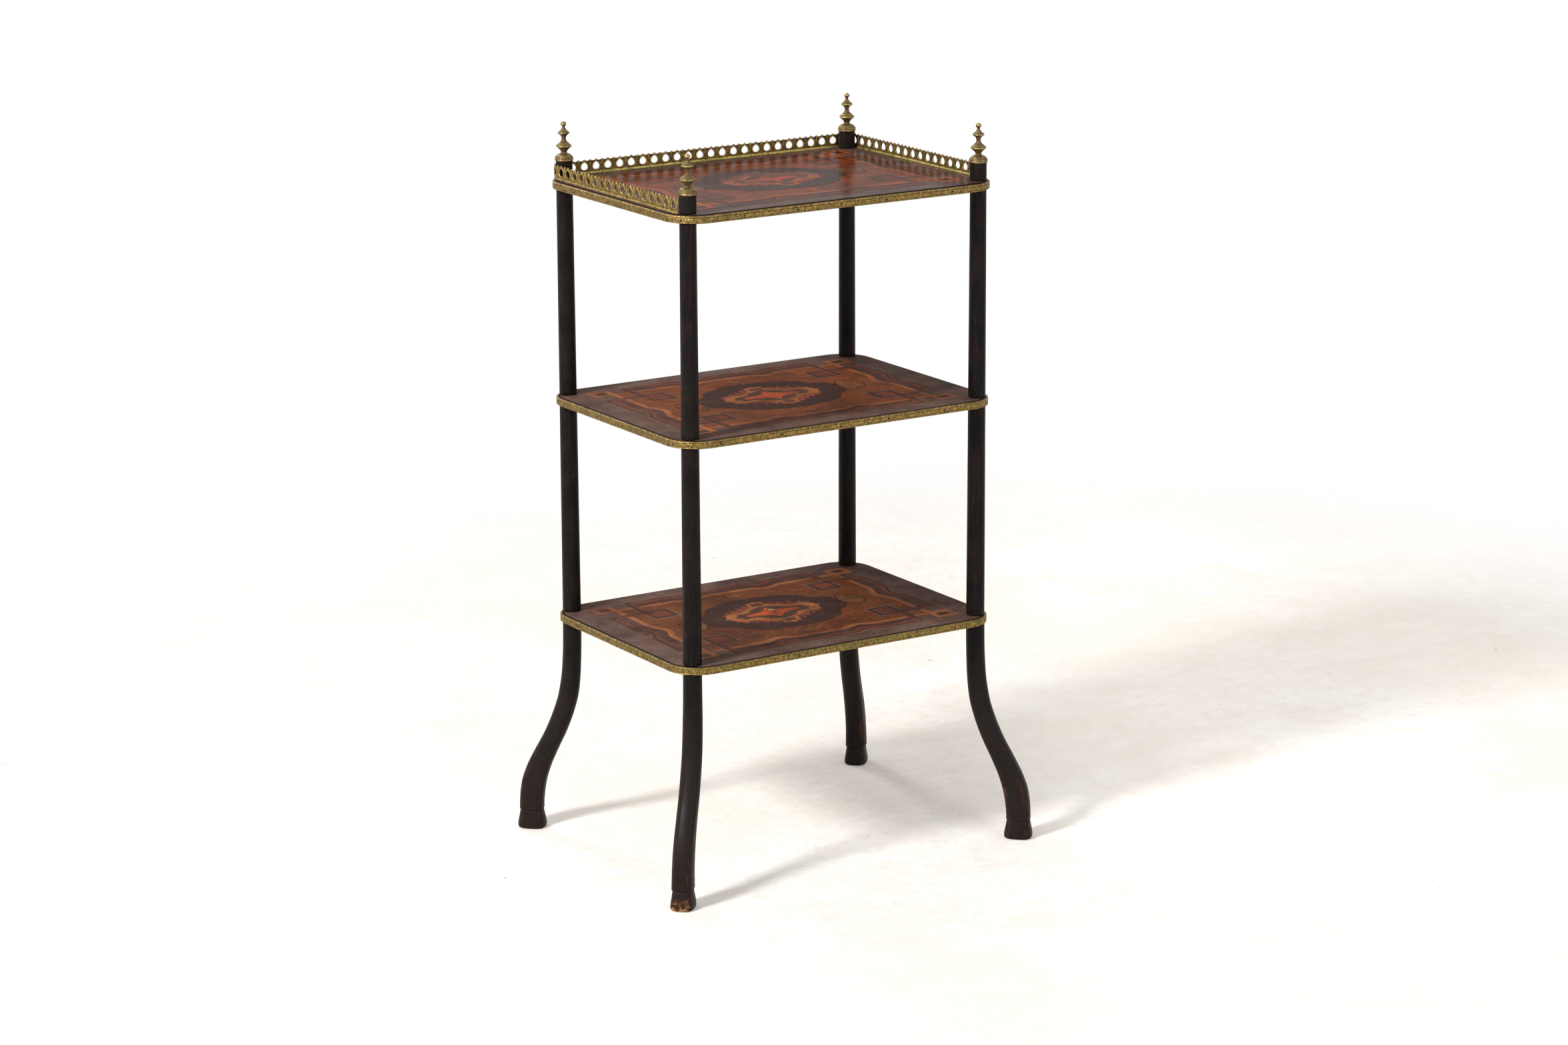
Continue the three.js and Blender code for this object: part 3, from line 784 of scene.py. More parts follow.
def petal_outline(root, tip, width):
    """A pointed petal from its root to its tip, widest near the tip."""
    root = np.array(root, float)
    along = tip - root
    across = np.array((-along[1], along[0])) / np.linalg.norm(along) * width / 2
    right = [root + along * share - across * reach for share, reach in PETAL_SHAPE]
    left = [root + along * share + across * reach for share, reach in PETAL_SHAPE[:0:-1]]
    return right + left


def hump(place, centre, half_width, depth):
    """How far a strap bows at places along it, over a hump of that half width and depth."""
    share = np.minimum(np.abs(np.abs(place) - centre) / half_width, 1)
    return depth * (1 + np.cos(math.pi * share)) / 2


STRAIGHT_END = 12
SPACING = 3


def bowed_run(start, end, bow):
    """A run of a strap between two corners, straight near its ends and bowed inwards between them."""
    start = np.array(start, float)
    way = end - start
    length = np.linalg.norm(way)
    steps = int((length - 2 * STRAIGHT_END) / SPACING)
    places = np.array([0, *np.linspace(STRAIGHT_END, length - STRAIGHT_END, steps), length])
    points = start + way * (places / length)[:, None]
    run = np.argmax(np.abs(way))
    points[:, 1 - run] -= hump(points[:, run], *bow) * np.sign(start[1 - run])
    return points


def strap_runs(long_run, short_run, corner, turn):
    """The runs of a strap as (points, turn): its long and short sides, then the path at each corner."""
    runs = [(long_run, -1), (-long_run, -1), (short_run, turn), (-short_run, turn)]
    for quarter in QUARTERS:
        for ends in zip(corner[:-1], corner[1:]):
            runs += [(np.array(points, float), turn) for points in mirrored(ends, (quarter,))]
    return runs


def strip_outline(points, width, turn, offset=0):
    """The outline and the grain of a strip of wood along a path, mitred where the strap turns."""
    along = np.gradient(points, axis=0)
    along /= np.linalg.norm(along, axis=1)[:, None]
    across = np.stack([-along[:, 1], along[:, 0]], axis=1)
    run = np.cumsum([0, *np.linalg.norm(np.diff(points, axis=0), axis=1)])
    shift = place_in_wood()
    sides = []
    for half in (-width / 2, width / 2):
        reach = offset + half
        side = points + across * reach
        side[0] += along[0] * reach * turn
        side[-1] -= along[-1] * reach * turn
        grain = np.stack([run, np.full(len(run), half)], axis=1) + shift
        sides.append(np.concatenate([side, grain], axis=1))
    whole = np.concatenate([sides[0], sides[1][::-1]])
    return whole[:, :2], whole[:, 2:]


# The light strap has humps inwards and a square loop at each corner
LIGHT_WIDTH = 8.5
LIGHT_X, LIGHT_Y = 168.25, 115
LOOP_X, LOOP_Y = 192.5, 136
LONG_HUMP = (58.5, 27, 7.5)
SHORT_HUMP = (0, 33, 9.5)
LIGHT_STRAP = strap_runs(
    bowed_run((-LOOP_X, -LIGHT_Y), (LOOP_X, -LIGHT_Y), LONG_HUMP),
    bowed_run((LIGHT_X, LOOP_Y), (LIGHT_X, -LOOP_Y), SHORT_HUMP),
    ((LOOP_X, LIGHT_Y), (LOOP_X, LOOP_Y), (LIGHT_X, LOOP_Y)),
    1,
)

# The dark strap is a frame with a square knot inside each corner
DARK_WIDTH = 4
MARGIN_WIDTH = 11
RED_WIDTH = 5.5
DARK_X, DARK_Y = 193, 139.5
KNOT_OUT_X, KNOT_OUT_Y = 140.5, 88.5
KNOT_IN_X, KNOT_IN_Y = 110, 57.5
DARK_LONG_HUMP = (58, 21, 7)
DARK_SHORT_HUMP = (0, 30, 10)
DARK_STRAP = strap_runs(
    bowed_run((-KNOT_OUT_X, DARK_Y), (KNOT_OUT_X, DARK_Y), DARK_LONG_HUMP),
    bowed_run((DARK_X, KNOT_OUT_Y), (DARK_X, -KNOT_OUT_Y), DARK_SHORT_HUMP),
    (
        (KNOT_OUT_X, DARK_Y), (KNOT_OUT_X, KNOT_IN_Y), (KNOT_IN_X, KNOT_IN_Y), (KNOT_IN_X, KNOT_OUT_Y),
        (DARK_X, KNOT_OUT_Y),
    ),
    -1,
)
KNOT_FIELD = ((112.5, 60), (138, 60), (138, 86), (112.5, 86))
LOOP_FIELD = ((173, 119), (188, 119), (188, 132), (173, 132))

# Short red arcs inside the humps of the dark strap
ARC_X = np.arange(42, 76, 3)
ARC = np.stack([ARC_X, 127.5 - hump(ARC_X, 58, 20, 6)], axis=1)
ARC_WIDTH = 4.5

CARTOUCHE_QUARTER = (
    (104, 0), (101.4, 18), (93.6, 28.5), (83.2, 33.8), (77.5, 41.3), (69.7, 54), (52, 64.5), (28.1, 72.4),
    (0, 75),
)
FRAME_OUTER_QUARTER = (
    (72, 0), (67.5, 3.5), (66, 9), (60, 17), (52, 20.5), (42, 19.5), (35, 20.5), (29, 26), (21, 31),
    (15.5, 34), (15.5, 40), (12, 43), (13.5, 49), (8, 52), (4.5, 51), (0, 56),
)
FRAME_INNER_QUARTER = (
    (56, 0), (50, 6), (48, 11.5), (38, 12), (28, 13), (24, 20), (17, 24.5), (10, 28), (0, 31),
)
STAR_QUARTER = ((40, 0), (38.5, 4.5), (28, 6), (20, 7.5), (12, 9.5), (6, 14.5), (2.5, 20), (0, 23))
CROWN_GROUND_HALF = ((5, 33.5), (9.5, 37), (7, 41), (8, 45), (3.5, 47.5), (0, 45))
LEAVES = (
    (30, 14), (52, 12), (63, 13), (66, 19), (58, 21), (58, 29), (49, 25), (45, 31), (46, 36), (38, 30),
    (33, 36), (34, 43), (27, 36), (24, 40), (20, 47), (16, 39), (12, 30),
)
SHELL_ROOT = (101.5, 0)
SHELL_TIPS = ((118, 23), (128, 19), (135, 11), (138, 0), (135, -11), (128, -19), (118, -23))
SHELL_PETAL_WIDTH = 11
BUD_HALF = ((0, 65), (3.5, 67), (5.5, 72), (3.5, 77), (0, 79.5))
FLEURON_HALF = ((0, 85), (4, 87), (5, 91), (12, 90), (13, 95), (8, 99), (5, 97), (4, 101), (0, 105))
FLOWER_CENTRE = (4, 4)
FLOWER_REACH = (5, 4.4)
FLOWER_PETAL_WIDTH = 3.6
CHIP = ((-1, 7), (4, 5), (9, 8), (8, 12), (3, 17), (1, 13))
REPLACED = {"field": "field_veneer", "dark": "cartouche_veneer"}


class Marquetry:
    """The inlays of one shelf, by their wood. A piece laid with a seam has a dark rim under it."""

    def __init__(self, shelf):
        self.inlays = {kind: Inlay(shelf) for kind in WOODS}

    def lay(self, kind, outline, layer, turn=0, seam=SEAM, **options):
        self.inlays[kind].add(outline, layer, turn, **options)
        if seam:
            self.inlays["seam"].add(grown(outline, seam), layer - 0.5)

    def lay_strip(self, kind, run, layer, width, offset=0, seam=0):
        points, turn = run
        if seam:
            outline, grain = strip_outline(points, width + 2 * seam, turn, offset)
            self.inlays["seam"].add(outline, layer - 0.5, grain=grain)
        outline, grain = strip_outline(points, width, turn, offset)
        self.inlays[kind].add(outline, layer, grain=grain)

    def lay_dark_strap(self, kind, layer, rise, width, offset=0):
        for index, run in enumerate(DARK_STRAP):
            self.lay_strip(kind, run, layer + rise * (index % 6), width, offset)


def lay_grounds(board):
    cross = (
        (DARK_X, 0), (DARK_X, KNOT_OUT_Y), (KNOT_OUT_X, KNOT_OUT_Y), (KNOT_OUT_X, DARK_Y), (0, DARK_Y),
    )
    board.lay("purple", quarter_outline(cross), 1)
    front = LIGHT_STRAP[0][0]
    right = LIGHT_STRAP[2][0][::-1]
    half = [*front[np.abs(front[:, 0]) < LIGHT_X], *right[np.abs(right[:, 1]) < LIGHT_Y]]
    board.lay("field", [*half, *-np.array(half)], 2, 0.1)
    for outline in mirrored(LOOP_FIELD):
        board.lay("line", outline, 2, 0.7)


def lay_straps(board):
    board.lay_dark_strap("pale", 3, 0.1, MARGIN_WIDTH)
    for index, run in enumerate(LIGHT_STRAP):
        board.lay_strip("light", run, 4.2 + 0.3 * (index > 1) + 0.1 * (index % 2), LIGHT_WIDTH, seam=0.6)
    board.lay_dark_strap("pale", 5.2, 0.05, MARGIN_WIDTH - 4)
    for outline in mirrored(KNOT_FIELD):
        board.lay("red", outline, 5.6, math.pi / 4, seam=0)
    board.lay_dark_strap("red", 5.8, 0.05, RED_WIDTH, -(DARK_WIDTH + RED_WIDTH) / 2)
    board.lay_dark_strap("line", 6.3, 0.05, DARK_WIDTH)
    for sides in reversed(CORNERS.values()):
        board.lay_strip("red", (ARC * sides, 0), 6.5, ARC_WIDTH, seam=SEAM)


def lay_shells(board):
    """Shells, buds and fleurons round the cartouche."""
    for side in (1, -1):
        for x, y in SHELL_TIPS:
            petal, = mirrored(petal_outline(SHELL_ROOT, (x, y), SHELL_PETAL_WIDTH), ((side, 1),))
            turn = math.atan2(y - SHELL_ROOT[1], side * (x - SHELL_ROOT[0]))
            layer = 6 + 0.02 * y
            board.inlays["line"].add(grown(petal, 2), layer - 0.7)
            board.lay("shell", petal, layer, turn, spread=0.25)
    for kind, half in (("red", BUD_HALF), ("tan", FLEURON_HALF)):
        for outline in mirrored(rounded(both_halves(half)), BACK_AND_FRONT):
            board.lay(kind, outline, 6, RIGHT_ANGLE, bright=0.8)


def lay_cartouche(board):
    """The cartouche and what is let into it."""
    board.lay("dark", rounded(quarter_outline(CARTOUCHE_QUARTER), 4), 7, seam=0.5)
    for copy in mirrored(LEAVES):
        board.lay("red", rounded(copy, 4), 8, random.uniform(0, 3), bright=1.3, spread=0.2)
    board.lay("tan", rounded(quarter_outline(FRAME_OUTER_QUARTER), 4), 8.5, 0.3)
    board.lay("ground", rounded(quarter_outline(FRAME_INNER_QUARTER), 4), 9.2)
    for copy in mirrored(rounded(both_halves(CROWN_GROUND_HALF)), BACK_AND_FRONT):
        board.lay("ground", copy, 9.2)
    board.lay("star", quarter_outline(STAR_QUARTER), 10, 0.2)
    for petal in range(5):
        angle = petal / 5 * FULL_TURN + 0.3
        tip = FLOWER_CENTRE + FLOWER_REACH * unit(angle)
        board.lay("tan", petal_outline(FLOWER_CENTRE, tip, FLOWER_PETAL_WIDTH), 10.8, angle)


def add_marquetry(shelf):
    board = Marquetry(shelf)
    lay_grounds(board)
    lay_straps(board)
    lay_shells(board)
    lay_cartouche(board)
    if shelf == "bottom":
        board.lay("pale", CHIP, 10.9, bright=3.4)
    for kind, (name, slot, *_) in WOODS.items():
        nodes = [f"{REPLACED[kind]}_{shelf}"] if kind in REPLACED else []
        board.inlays[kind].finish(name, SHELF_WOODS[shelf][kind], slot, *nodes)


BORDER_EDGE = 0.8
BORDER_GRAIN = (300, 70, 5)


def add_board(name, profile, material, slot, node, stained=None):
    """A board as wide as a shelf, from a profile of (offset, height), with its stain at each point."""
    points = np.array([(x, y, height) for offset, height in profile for x, y in shelf_outline(offset)])
    values = {}
    if stained:
        values = {
            "grain": points * (1, 1, 0) + BORDER_GRAIN,
            "stained": np.repeat(stained, EDGE_POINTS),
            "tint": np.ones(points.shape),
        }
    faces = solid_faces(len(profile), EDGE_POINTS)
    add_piece(name, points, faces, material, slot, node, values=values, sharp=50)


def add_border(shelf):
    """The border plate with its rounded edge, which is stained black."""
    top = SHELF_TOP[shelf] - LAYERS * LAYER
    rim = [
        (BORDER_EDGE * (cosine - 1), top + BORDER_EDGE * (sine - 1))
        for cosine, sine in unit(np.linspace(0, RIGHT_ANGLE, 5))
    ]
    profile = [(0, SHELF_TOP[shelf] - VENEER), *rim, (-1.6, top), (-2.2, top), (-4, top)]
    stained = [1] * 6 + [0.9, 0.15, 0]
    wood = SHELF_WOODS[shelf]["border"]
    add_board(f"border_{shelf}", profile, wood, "rosewood_veneer", f"border_veneer_{shelf}", stained)


def add_core(shelf):
    """The carcase board under the veneer, its edges worn."""
    low = SHELF_UNDERSIDE[shelf]
    high = SHELF_TOP[shelf] - VENEER
    profile = ((-1, low), (-0.3, low + 0.3), (0, low + 1), (0, high - 0.2), (-0.2, high))
    add_board(f"board_{shelf}", profile, CARCASE, "carcase_wood", f"shelf_core_{shelf}")


# Pins with round heads

HEAD_SIDES = 12
HEAD_RINGS = 4


def head_points(centre, outward, radius, rise):
    """The points of a pin's round head, ring by ring and then its tip."""
    reach, out = unit(np.arange(HEAD_RINGS) / HEAD_RINGS * RIGHT_ANGLE).T[:, :, None, None]
    up, aside = unit(np.arange(HEAD_SIDES) / HEAD_SIDES * FULL_TURN).T[:, :, None]
    ring = up * np.array(UP) + aside * np.cross(outward, UP)
    rings = centre + outward * rise * out + ring * radius * reach
    return [*rings.reshape(-1, 3), centre + outward * rise]


def add_pins(name, heads):
    """Dark pins from the points of their heads."""
    faces = []
    for index, head in enumerate(heads):
        start = index * len(head)
        last = start + (HEAD_RINGS - 1) * HEAD_SIDES
        faces += ring_faces(HEAD_RINGS, HEAD_SIDES, start)
        faces += [(last + j, last + k, last + HEAD_SIDES) for j, k in around(HEAD_SIDES)]
        faces.append(tuple(range(start + HEAD_SIDES - 1, start - 1, -1)))
    add_piece(name, np.concatenate(heads), faces, PIN, "aged_brass", weld=True)


# Brass bands, from their lower lip up

band_low, band_high = corners_of("brass_band_middle")
BAND_HEIGHT = band_high[2] - band_low[2]
BAND_REACH = band_high[0] - SHELF_HALF[0]
BAND_GAP = 0.3
BAND_PITCHES = 220
BAND_SAMPLES = 16
BAND_RELIEF = 0.55
ORNAMENT_LOW, ORNAMENT_HIGH = 1.7, 6.9
TWIST_HEIGHT = 1.85
TWIST_WIDTH = 0.52
FIELD_MIDDLE = 4.3
WALK_STEPS = 3000
PIN_RADIUS = 1.45
PIN_SETBACK = 0.82
PIN_RISE = 0.17
FIRST_PIN = (10, 40)
PIN_SPACING = (58, 104)
LAST_PIN = 20
VERDIGRIS = {"bottom": 0.25, "middle": 0.05, "top": 0}
# Heights up the bead, the field and the fillet, with how far each stands out as a share of the reach
FIELD_HEIGHTS = np.linspace(ORNAMENT_LOW, ORNAMENT_HIGH, 12)
BAND_PROFILE = (
    (0, 0.6), (0.25, 0.84), (0.7, 0.95), (1.15, 0.9), (1.5, 0.78),
    *zip(FIELD_HEIGHTS, 0.8 - 0.03 * np.abs(FIELD_HEIGHTS - FIELD_MIDDLE)),
    (7.1, 0.84), (7.5, 0.95), (8.1, 0.96), (8.7, 0.88), (9.15, 0.74), (BAND_HEIGHT, 0.5),
)


def band_relief(place, height, pitch):
    """Height of the cast pattern from 0 to 1: two bands twisted round a row of bosses."""
    across = height - (ORNAMENT_LOW + ORNAMENT_HIGH) / 2
    cosine, sine = unit(place / pitch * FULL_TURN).T
    slope = TWIST_HEIGHT * FULL_TURN / pitch * cosine
    width = TWIST_WIDTH * np.sqrt(1 + slope ** 2)
    rising = ridge(across - TWIST_HEIGHT * sine, width) * (0.76 + 0.24 * cosine)
    falling = ridge(across + TWIST_HEIGHT * sine, width) * (0.76 - 0.24 * cosine)
    eye = ((place / pitch * 2) % 1 - 0.5) * pitch / 2
    boss = 0.62 * ridge(np.hypot(eye, across), 0.5)
    rise = ease(height, ORNAMENT_LOW - 0.1, ORNAMENT_LOW + 0.3)
    fall = ease(height, ORNAMENT_HIGH + 0.1, ORNAMENT_HIGH - 0.3)
    return np.maximum.reduce([rising, falling, boss]) * rise * fall


def add_bands():
    count = BAND_PITCHES * BAND_SAMPLES
    edge, normal, total = shelf_walk(count)
    along = np.arange(count) / count * total
    heights, shares = np.array(BAND_PROFILE).T[:, :, None]
    relief = band_relief(along, heights, total / BAND_PITCHES)
    in_field = (heights >= ORNAMENT_LOW) & (heights <= ORNAMENT_HIGH)
    outer_shine = np.where(in_field, 0.32 + 0.62 * relief, 0.64)
    outer_shine[0] = 0.25
    outer_shine[-1] = 0.35
    outer = np.minimum(shares * BAND_REACH + relief * BAND_RELIEF, BAND_REACH)
    reach = np.concatenate([outer, np.full((2, count), BAND_GAP)])
    shine = np.concatenate([outer_shine, np.full((2, count), 0.2)])
    levels = np.concatenate([heights, [[BAND_HEIGHT], [0]]])
    faces = ring_faces(len(levels), count, closed=True)
    for shelf in SHELVES:
        base = corners_of(f"brass_band_{shelf}")[0][2]
        rows = (edge[:, i] + normal[:, i] * reach for i in (0, 1))
        points = stacked(*rows, base + levels)
        values = {"relief": shine.ravel(), "verdigris": np.full(shine.size, VERDIGRIS[shelf])}
        add_piece(
            f"cast_band_{shelf}", points, faces, BAND_BRASS, "aged_brass", f"brass_band_{shelf}",
            values=values, sharp=70,
        )
        add_band_pins(shelf, base)


def add_band_pins(shelf, base):
    """Dark pins that hold a band, at uneven spacing round the shelf."""
    walk, normals, total = shelf_walk(WALK_STEPS)
    heads = []
    place = random.uniform(*FIRST_PIN)
    while place < total - LAST_PIN:
        index = int(place / total * WALK_STEPS) % WALK_STEPS
        outward = np.array((*normals[index], 0))
        centre = outward * PIN_SETBACK * BAND_REACH + (*walk[index], base + FIELD_MIDDLE)
        heads.append(head_points(centre, outward, PIN_RADIUS, PIN_RISE * BAND_REACH))
        place += random.uniform(*PIN_SPACING)
    add_pins(f"band_pins_{shelf}", heads)


# Gallery: one pierced cell, repeated up the left side, along the back and down the right side

gallery_low, _ = corners_of("gallery_left")
GALLERY_FOOT = gallery_low[2]
GALLERY_FACE = 0.8
GALLERY_CLEARANCE = 0.5
GALLERY_FLARE = 1.4
FLARE_HEIGHT = 2.6
APRON_HEIGHT = 3.9
GALLERY_PITCH = 17
WRAP_RADIUS = STUB_DIAMETER / 2 + GALLERY_CLEARANCE + GALLERY_FACE
SIDE_RUN = POST_Y - gallery_low[1]
WRAP_RUN = WRAP_RADIUS * RIGHT_ANGLE
GALLERY_RUN = 2 * (SIDE_RUN + WRAP_RUN + POST_X)
JOINT_FROM_POST = 79.5
JOINT = SIDE_RUN + WRAP_RUN + JOINT_FROM_POST
JOINT_GAP = 0.3
HOLE_SILL = 4.9
HOLE_TOP = 14.6
HOLE_HALF = 4.95
HOLE_CENTRE = 9.3
# The right half of the pointed hole, as shares of its half width and of its height
HOLE_SHARES = (
    (0, 0), (0.3, 0.01), (0.62, 0.075), (0.87, 0.2), (0.99, 0.37), (0.98, 0.52), (0.84, 0.67),
    (0.6, 0.81), (0.34, 0.915), (0.14, 0.975), (0, 1),
)
RING_SHARES = np.array([[0, 0.05, 0.12, 0.2, 0.29, 0.39, 0.5, 0.62, 0.75, 0.88, 1]]).T
CREST_HEIGHT = 16.85
CREST_WAVE = 0.35
KNOB_HEIGHT = 16.5
KNOB_RADIUS = 1.8
SMALL_KNOB_HEIGHT = 16.4
SMALL_KNOB_RADIUS = 1.6
NAIL_HEIGHT = 3.1
# Nails on both faces: offset from the gallery's middle, direction, radius and rise
NAILS = ((GALLERY_FACE, 1, 1.2, 0.75), (0.1 - GALLERY_FACE, -1, 0.9, 0.5))


def gallery_place(distance, outwards):
    """Plan point of the gallery, by the distance along its run and the offset from its middle."""
    side = np.where(distance < GALLERY_RUN / 2, -1, 1)
    past_side = np.minimum(distance, GALLERY_RUN - distance) - SIDE_RUN
    turn = np.clip(past_side / WRAP_RADIUS, 0, RIGHT_ANGLE)
    reach = WRAP_RADIUS + outwards
    x = POST_X + reach * np.cos(turn) - np.maximum(past_side - WRAP_RUN, 0)
    y = POST_Y + reach * np.sin(turn) + np.minimum(past_side, 0)
    return side * x, y


def ball(distance, radius):
    """Height of a half ball of that radius over a distance from its middle."""
    return np.sqrt(np.maximum(radius ** 2 - distance ** 2, 0))


def crest(place, pitch):
    """Height of the gallery's crest: a knob over each arch and one between arches."""
    big = KNOB_HEIGHT + ball(place, KNOB_RADIUS)
    small = SMALL_KNOB_HEIGHT + ball(pitch / 2 - np.abs(place), SMALL_KNOB_RADIUS)
    ground = CREST_HEIGHT + CREST_WAVE * np.cos(place / pitch * 2 * FULL_TURN)
    return np.maximum.reduce([big, small, ground])


def gallery_outline(pitch):
    """The edge of one cell, anticlockwise from its lower left corner."""
    half = pitch / 2
    side = crest(half, pitch)
    top = np.linspace(half, -half, 37)[:-1]
    return np.array([
        *((x, 0) for x in np.linspace(-half, half, 13)[:-1]),
        *((half, z) for z in np.linspace(0, side, 14)[:-1]),
        *zip(top, crest(top, pitch)),
        *((-half, z) for z in np.linspace(side, 0, 14)[:-1]),
    ])


def hole_outline():
    """The pointed hole of a cell, anticlockwise from its sill."""
    shares = np.array(HOLE_SHARES)
    steps = np.cumsum([0, *np.hypot(*np.diff(shares, axis=0).T)])
    x, z = (smooth_curve(steps, column, np.linspace(0, steps[-1], 60)) for column in shares.T)
    right = np.stack([x * HOLE_HALF, HOLE_SILL + z * (HOLE_TOP - HOLE_SILL)], axis=1)
    return np.concatenate([right, right[-2:0:-1] * (-1, 1)])


def gallery_relief(x, z, rim_distance, pitch):
    """Height of the cast relief on a face of the gallery, from 0 to 1."""
    side = pitch / 2 - np.abs(x)
    rim = ridge(rim_distance - 0.8, 0.68)
    rib = ridge(side - 0.12 * np.maximum(z - 9, 0) ** 0.9, 0.55) * ease(z, 6.5, 9.5)
    stroke = ridge((side - 0.8) - 0.85 * (z - 5.4), 0.5) * ease(z, 4.6, 5.4) * ease(z, 9.5, 7)
    veins = 0.55 * ridge(side - 1.7 - 0.2 * (z - 9), 0.35) * ease(z, 8, 10) * ease(z, 15.5, 13)
    beads = 0.8 * ridge(z - 4.35 - 0.22 * np.cos(x / pitch * 4 * FULL_TURN), 0.34)
    big = ball(np.hypot(x, z - 16.9) / 1.6, 1)
    small = ball(np.hypot(side, z - 16.5) / 1.45, 1)
    cup = 0.8 * ridge(np.abs(x) - 0.62 * (z - 1.2), 0.45) * ease(z, 3.9, 4.4) * ease(z, 6.6, 5.2)
    return np.maximum.reduce([rim, rib, stroke, veins, cup, beads, big, small])


def from_hole(points):
    """Distances and directions of points from the middle of a cell's hole."""
    offset = points - (0, HOLE_CENTRE)
    return np.hypot(*offset.T), np.arctan2(offset[:, 1], offset[:, 0])


def cell_faces(cell, cells, outer, pitch):
    """The faces of one cell of a strip, open at the sides that it shares with its neighbours."""
    rings = len(RING_SHARES)
    count = len(outer)
    front = 2 * cell * rings * count
    back = front + rings * count
    front_edge = back - count
    back_edge = front_edge + rings * count
    faces = ring_faces(rings, count, front)
    faces += [(b, a, d, c) for a, b, c, d in ring_faces(rings, count, back)]
    for j, k in around(count):
        faces.append((front + k, front + j, back + j, back + k))
        side = (outer[j, 0] + outer[k, 0]) / pitch
        if abs(side) < 0.999 or not 0 <= cell + round(side) < cells:
            faces.append((front_edge + j, front_edge + k, back_edge + k, back_edge + j))
    return faces


def gallery_strip(name, start, end, node):
    """A length of the gallery. Returns the places of the ribs between its cells."""
    cells = round((end - start) / GALLERY_PITCH)
    pitch = (end - start) / cells
    outer = gallery_outline(pitch)
    reach_at, hole_angles = from_hole(hole_outline())
    order = np.argsort(hole_angles)
    outer_reach, angles = from_hole(outer)
    hole_reach = np.interp(angles, hole_angles[order], reach_at[order], period=FULL_TURN)
    rim_distance = RING_SHARES * (outer_reach - hole_reach)
    x = (hole_reach + rim_distance) * np.cos(angles)
    z = HOLE_CENTRE + (hole_reach + rim_distance) * np.sin(angles)
    x[-1], z[-1] = outer.T
    relief = gallery_relief(x, z, rim_distance, pitch)
    thick = GALLERY_FACE - 0.35 + 0.42 * relief - 0.3 * ease(z, 15.5, 16.5) * ease(RING_SHARES, 0.9, 1)
    thick[0] -= 0.12
    flare = GALLERY_FLARE * (1 - ball(np.clip(1 - z / FLARE_HEIGHT, 0, 1), 1))
    front = thick + 0.32 * relief + flare + 0.35 * ridge(z - 3, 0.8)
    fillet = ease(z, 2.5, 0.3)
    back = -(thick + 1.2 * fillet)
    low = z < APRON_HEIGHT
    outer_shine = np.where(low, 0.62 + 0.3 * ridge(z - 1.5, 0.75), 0.3 + 0.66 * relief)
    inner_shine = np.where(low, 0.95 - 0.9 * ridge(z - 3.1, 0.55), 0.1 + 0.8 * relief)
    points = []
    faces = []
    for cell in range(cells):
        faces += cell_faces(cell, cells, outer, pitch)
        for face in (front, back):
            plan = gallery_place(start + (cell + 0.5) * pitch + x, face)
            points.append(stacked(*plan, GALLERY_FOOT + z))
    values = {
        "relief": np.tile(np.ravel([outer_shine, inner_shine]), cells),
        "verdigris": np.tile(np.ravel([np.zeros(z.shape), fillet]), cells),
    }
    points = np.concatenate(points)
    add_piece(name, points, faces, GALLERY_BRASS, "aged_brass", node, values=values, sharp=65, weld=True)
    return [start + cell * pitch for cell in range(cells + 1)]


def add_gallery():
    left_ribs = gallery_strip("cast_gallery_left", 0, JOINT - JOINT_GAP / 2, "gallery_left")
    right_ribs = gallery_strip("cast_gallery_right", JOINT + JOINT_GAP / 2, GALLERY_RUN, "gallery_right")
    heads = []
    for place in (*left_ribs[2:-1:5], *right_ribs[3::5]):
        outward = np.array((*np.subtract(gallery_place(place, 1), gallery_place(place, 0)), 0))
        for offset, way, radius, rise in NAILS:
            centre = np.array((*gallery_place(place, offset), GALLERY_FOOT + NAIL_HEIGHT))
            heads.append(head_points(centre, way * outward, radius, rise))
    add_pins("gallery_nails", heads)


# Floor, light and camera

WHITE = (1, 1, 1, 1)
FLOOR_HALF = 20000
FLOOR_DROP = 0.5
# Where the floor fades to white: centre, and start and end of the fade, in metres
FADE_CENTRE = (0.5, 0.2, 0)
FADE = (0.8, 1.75)


def background_rays(tree):
    """1 for the rays that show the background: the camera's, mirrored ones and those through glass."""
    path = tree.nodes.new("ShaderNodeLightPath").outputs
    shown = path["Is Camera Ray"]
    for kind in ("Is Glossy Ray", "Is Transmission Ray"):
        either = tree.nodes.new("ShaderNodeMath")
        either.operation = "MAXIMUM"
        tree.links.new(shown, either.inputs[0])
        tree.links.new(path[kind], either.inputs[1])
        shown = either.outputs[0]
    return shown


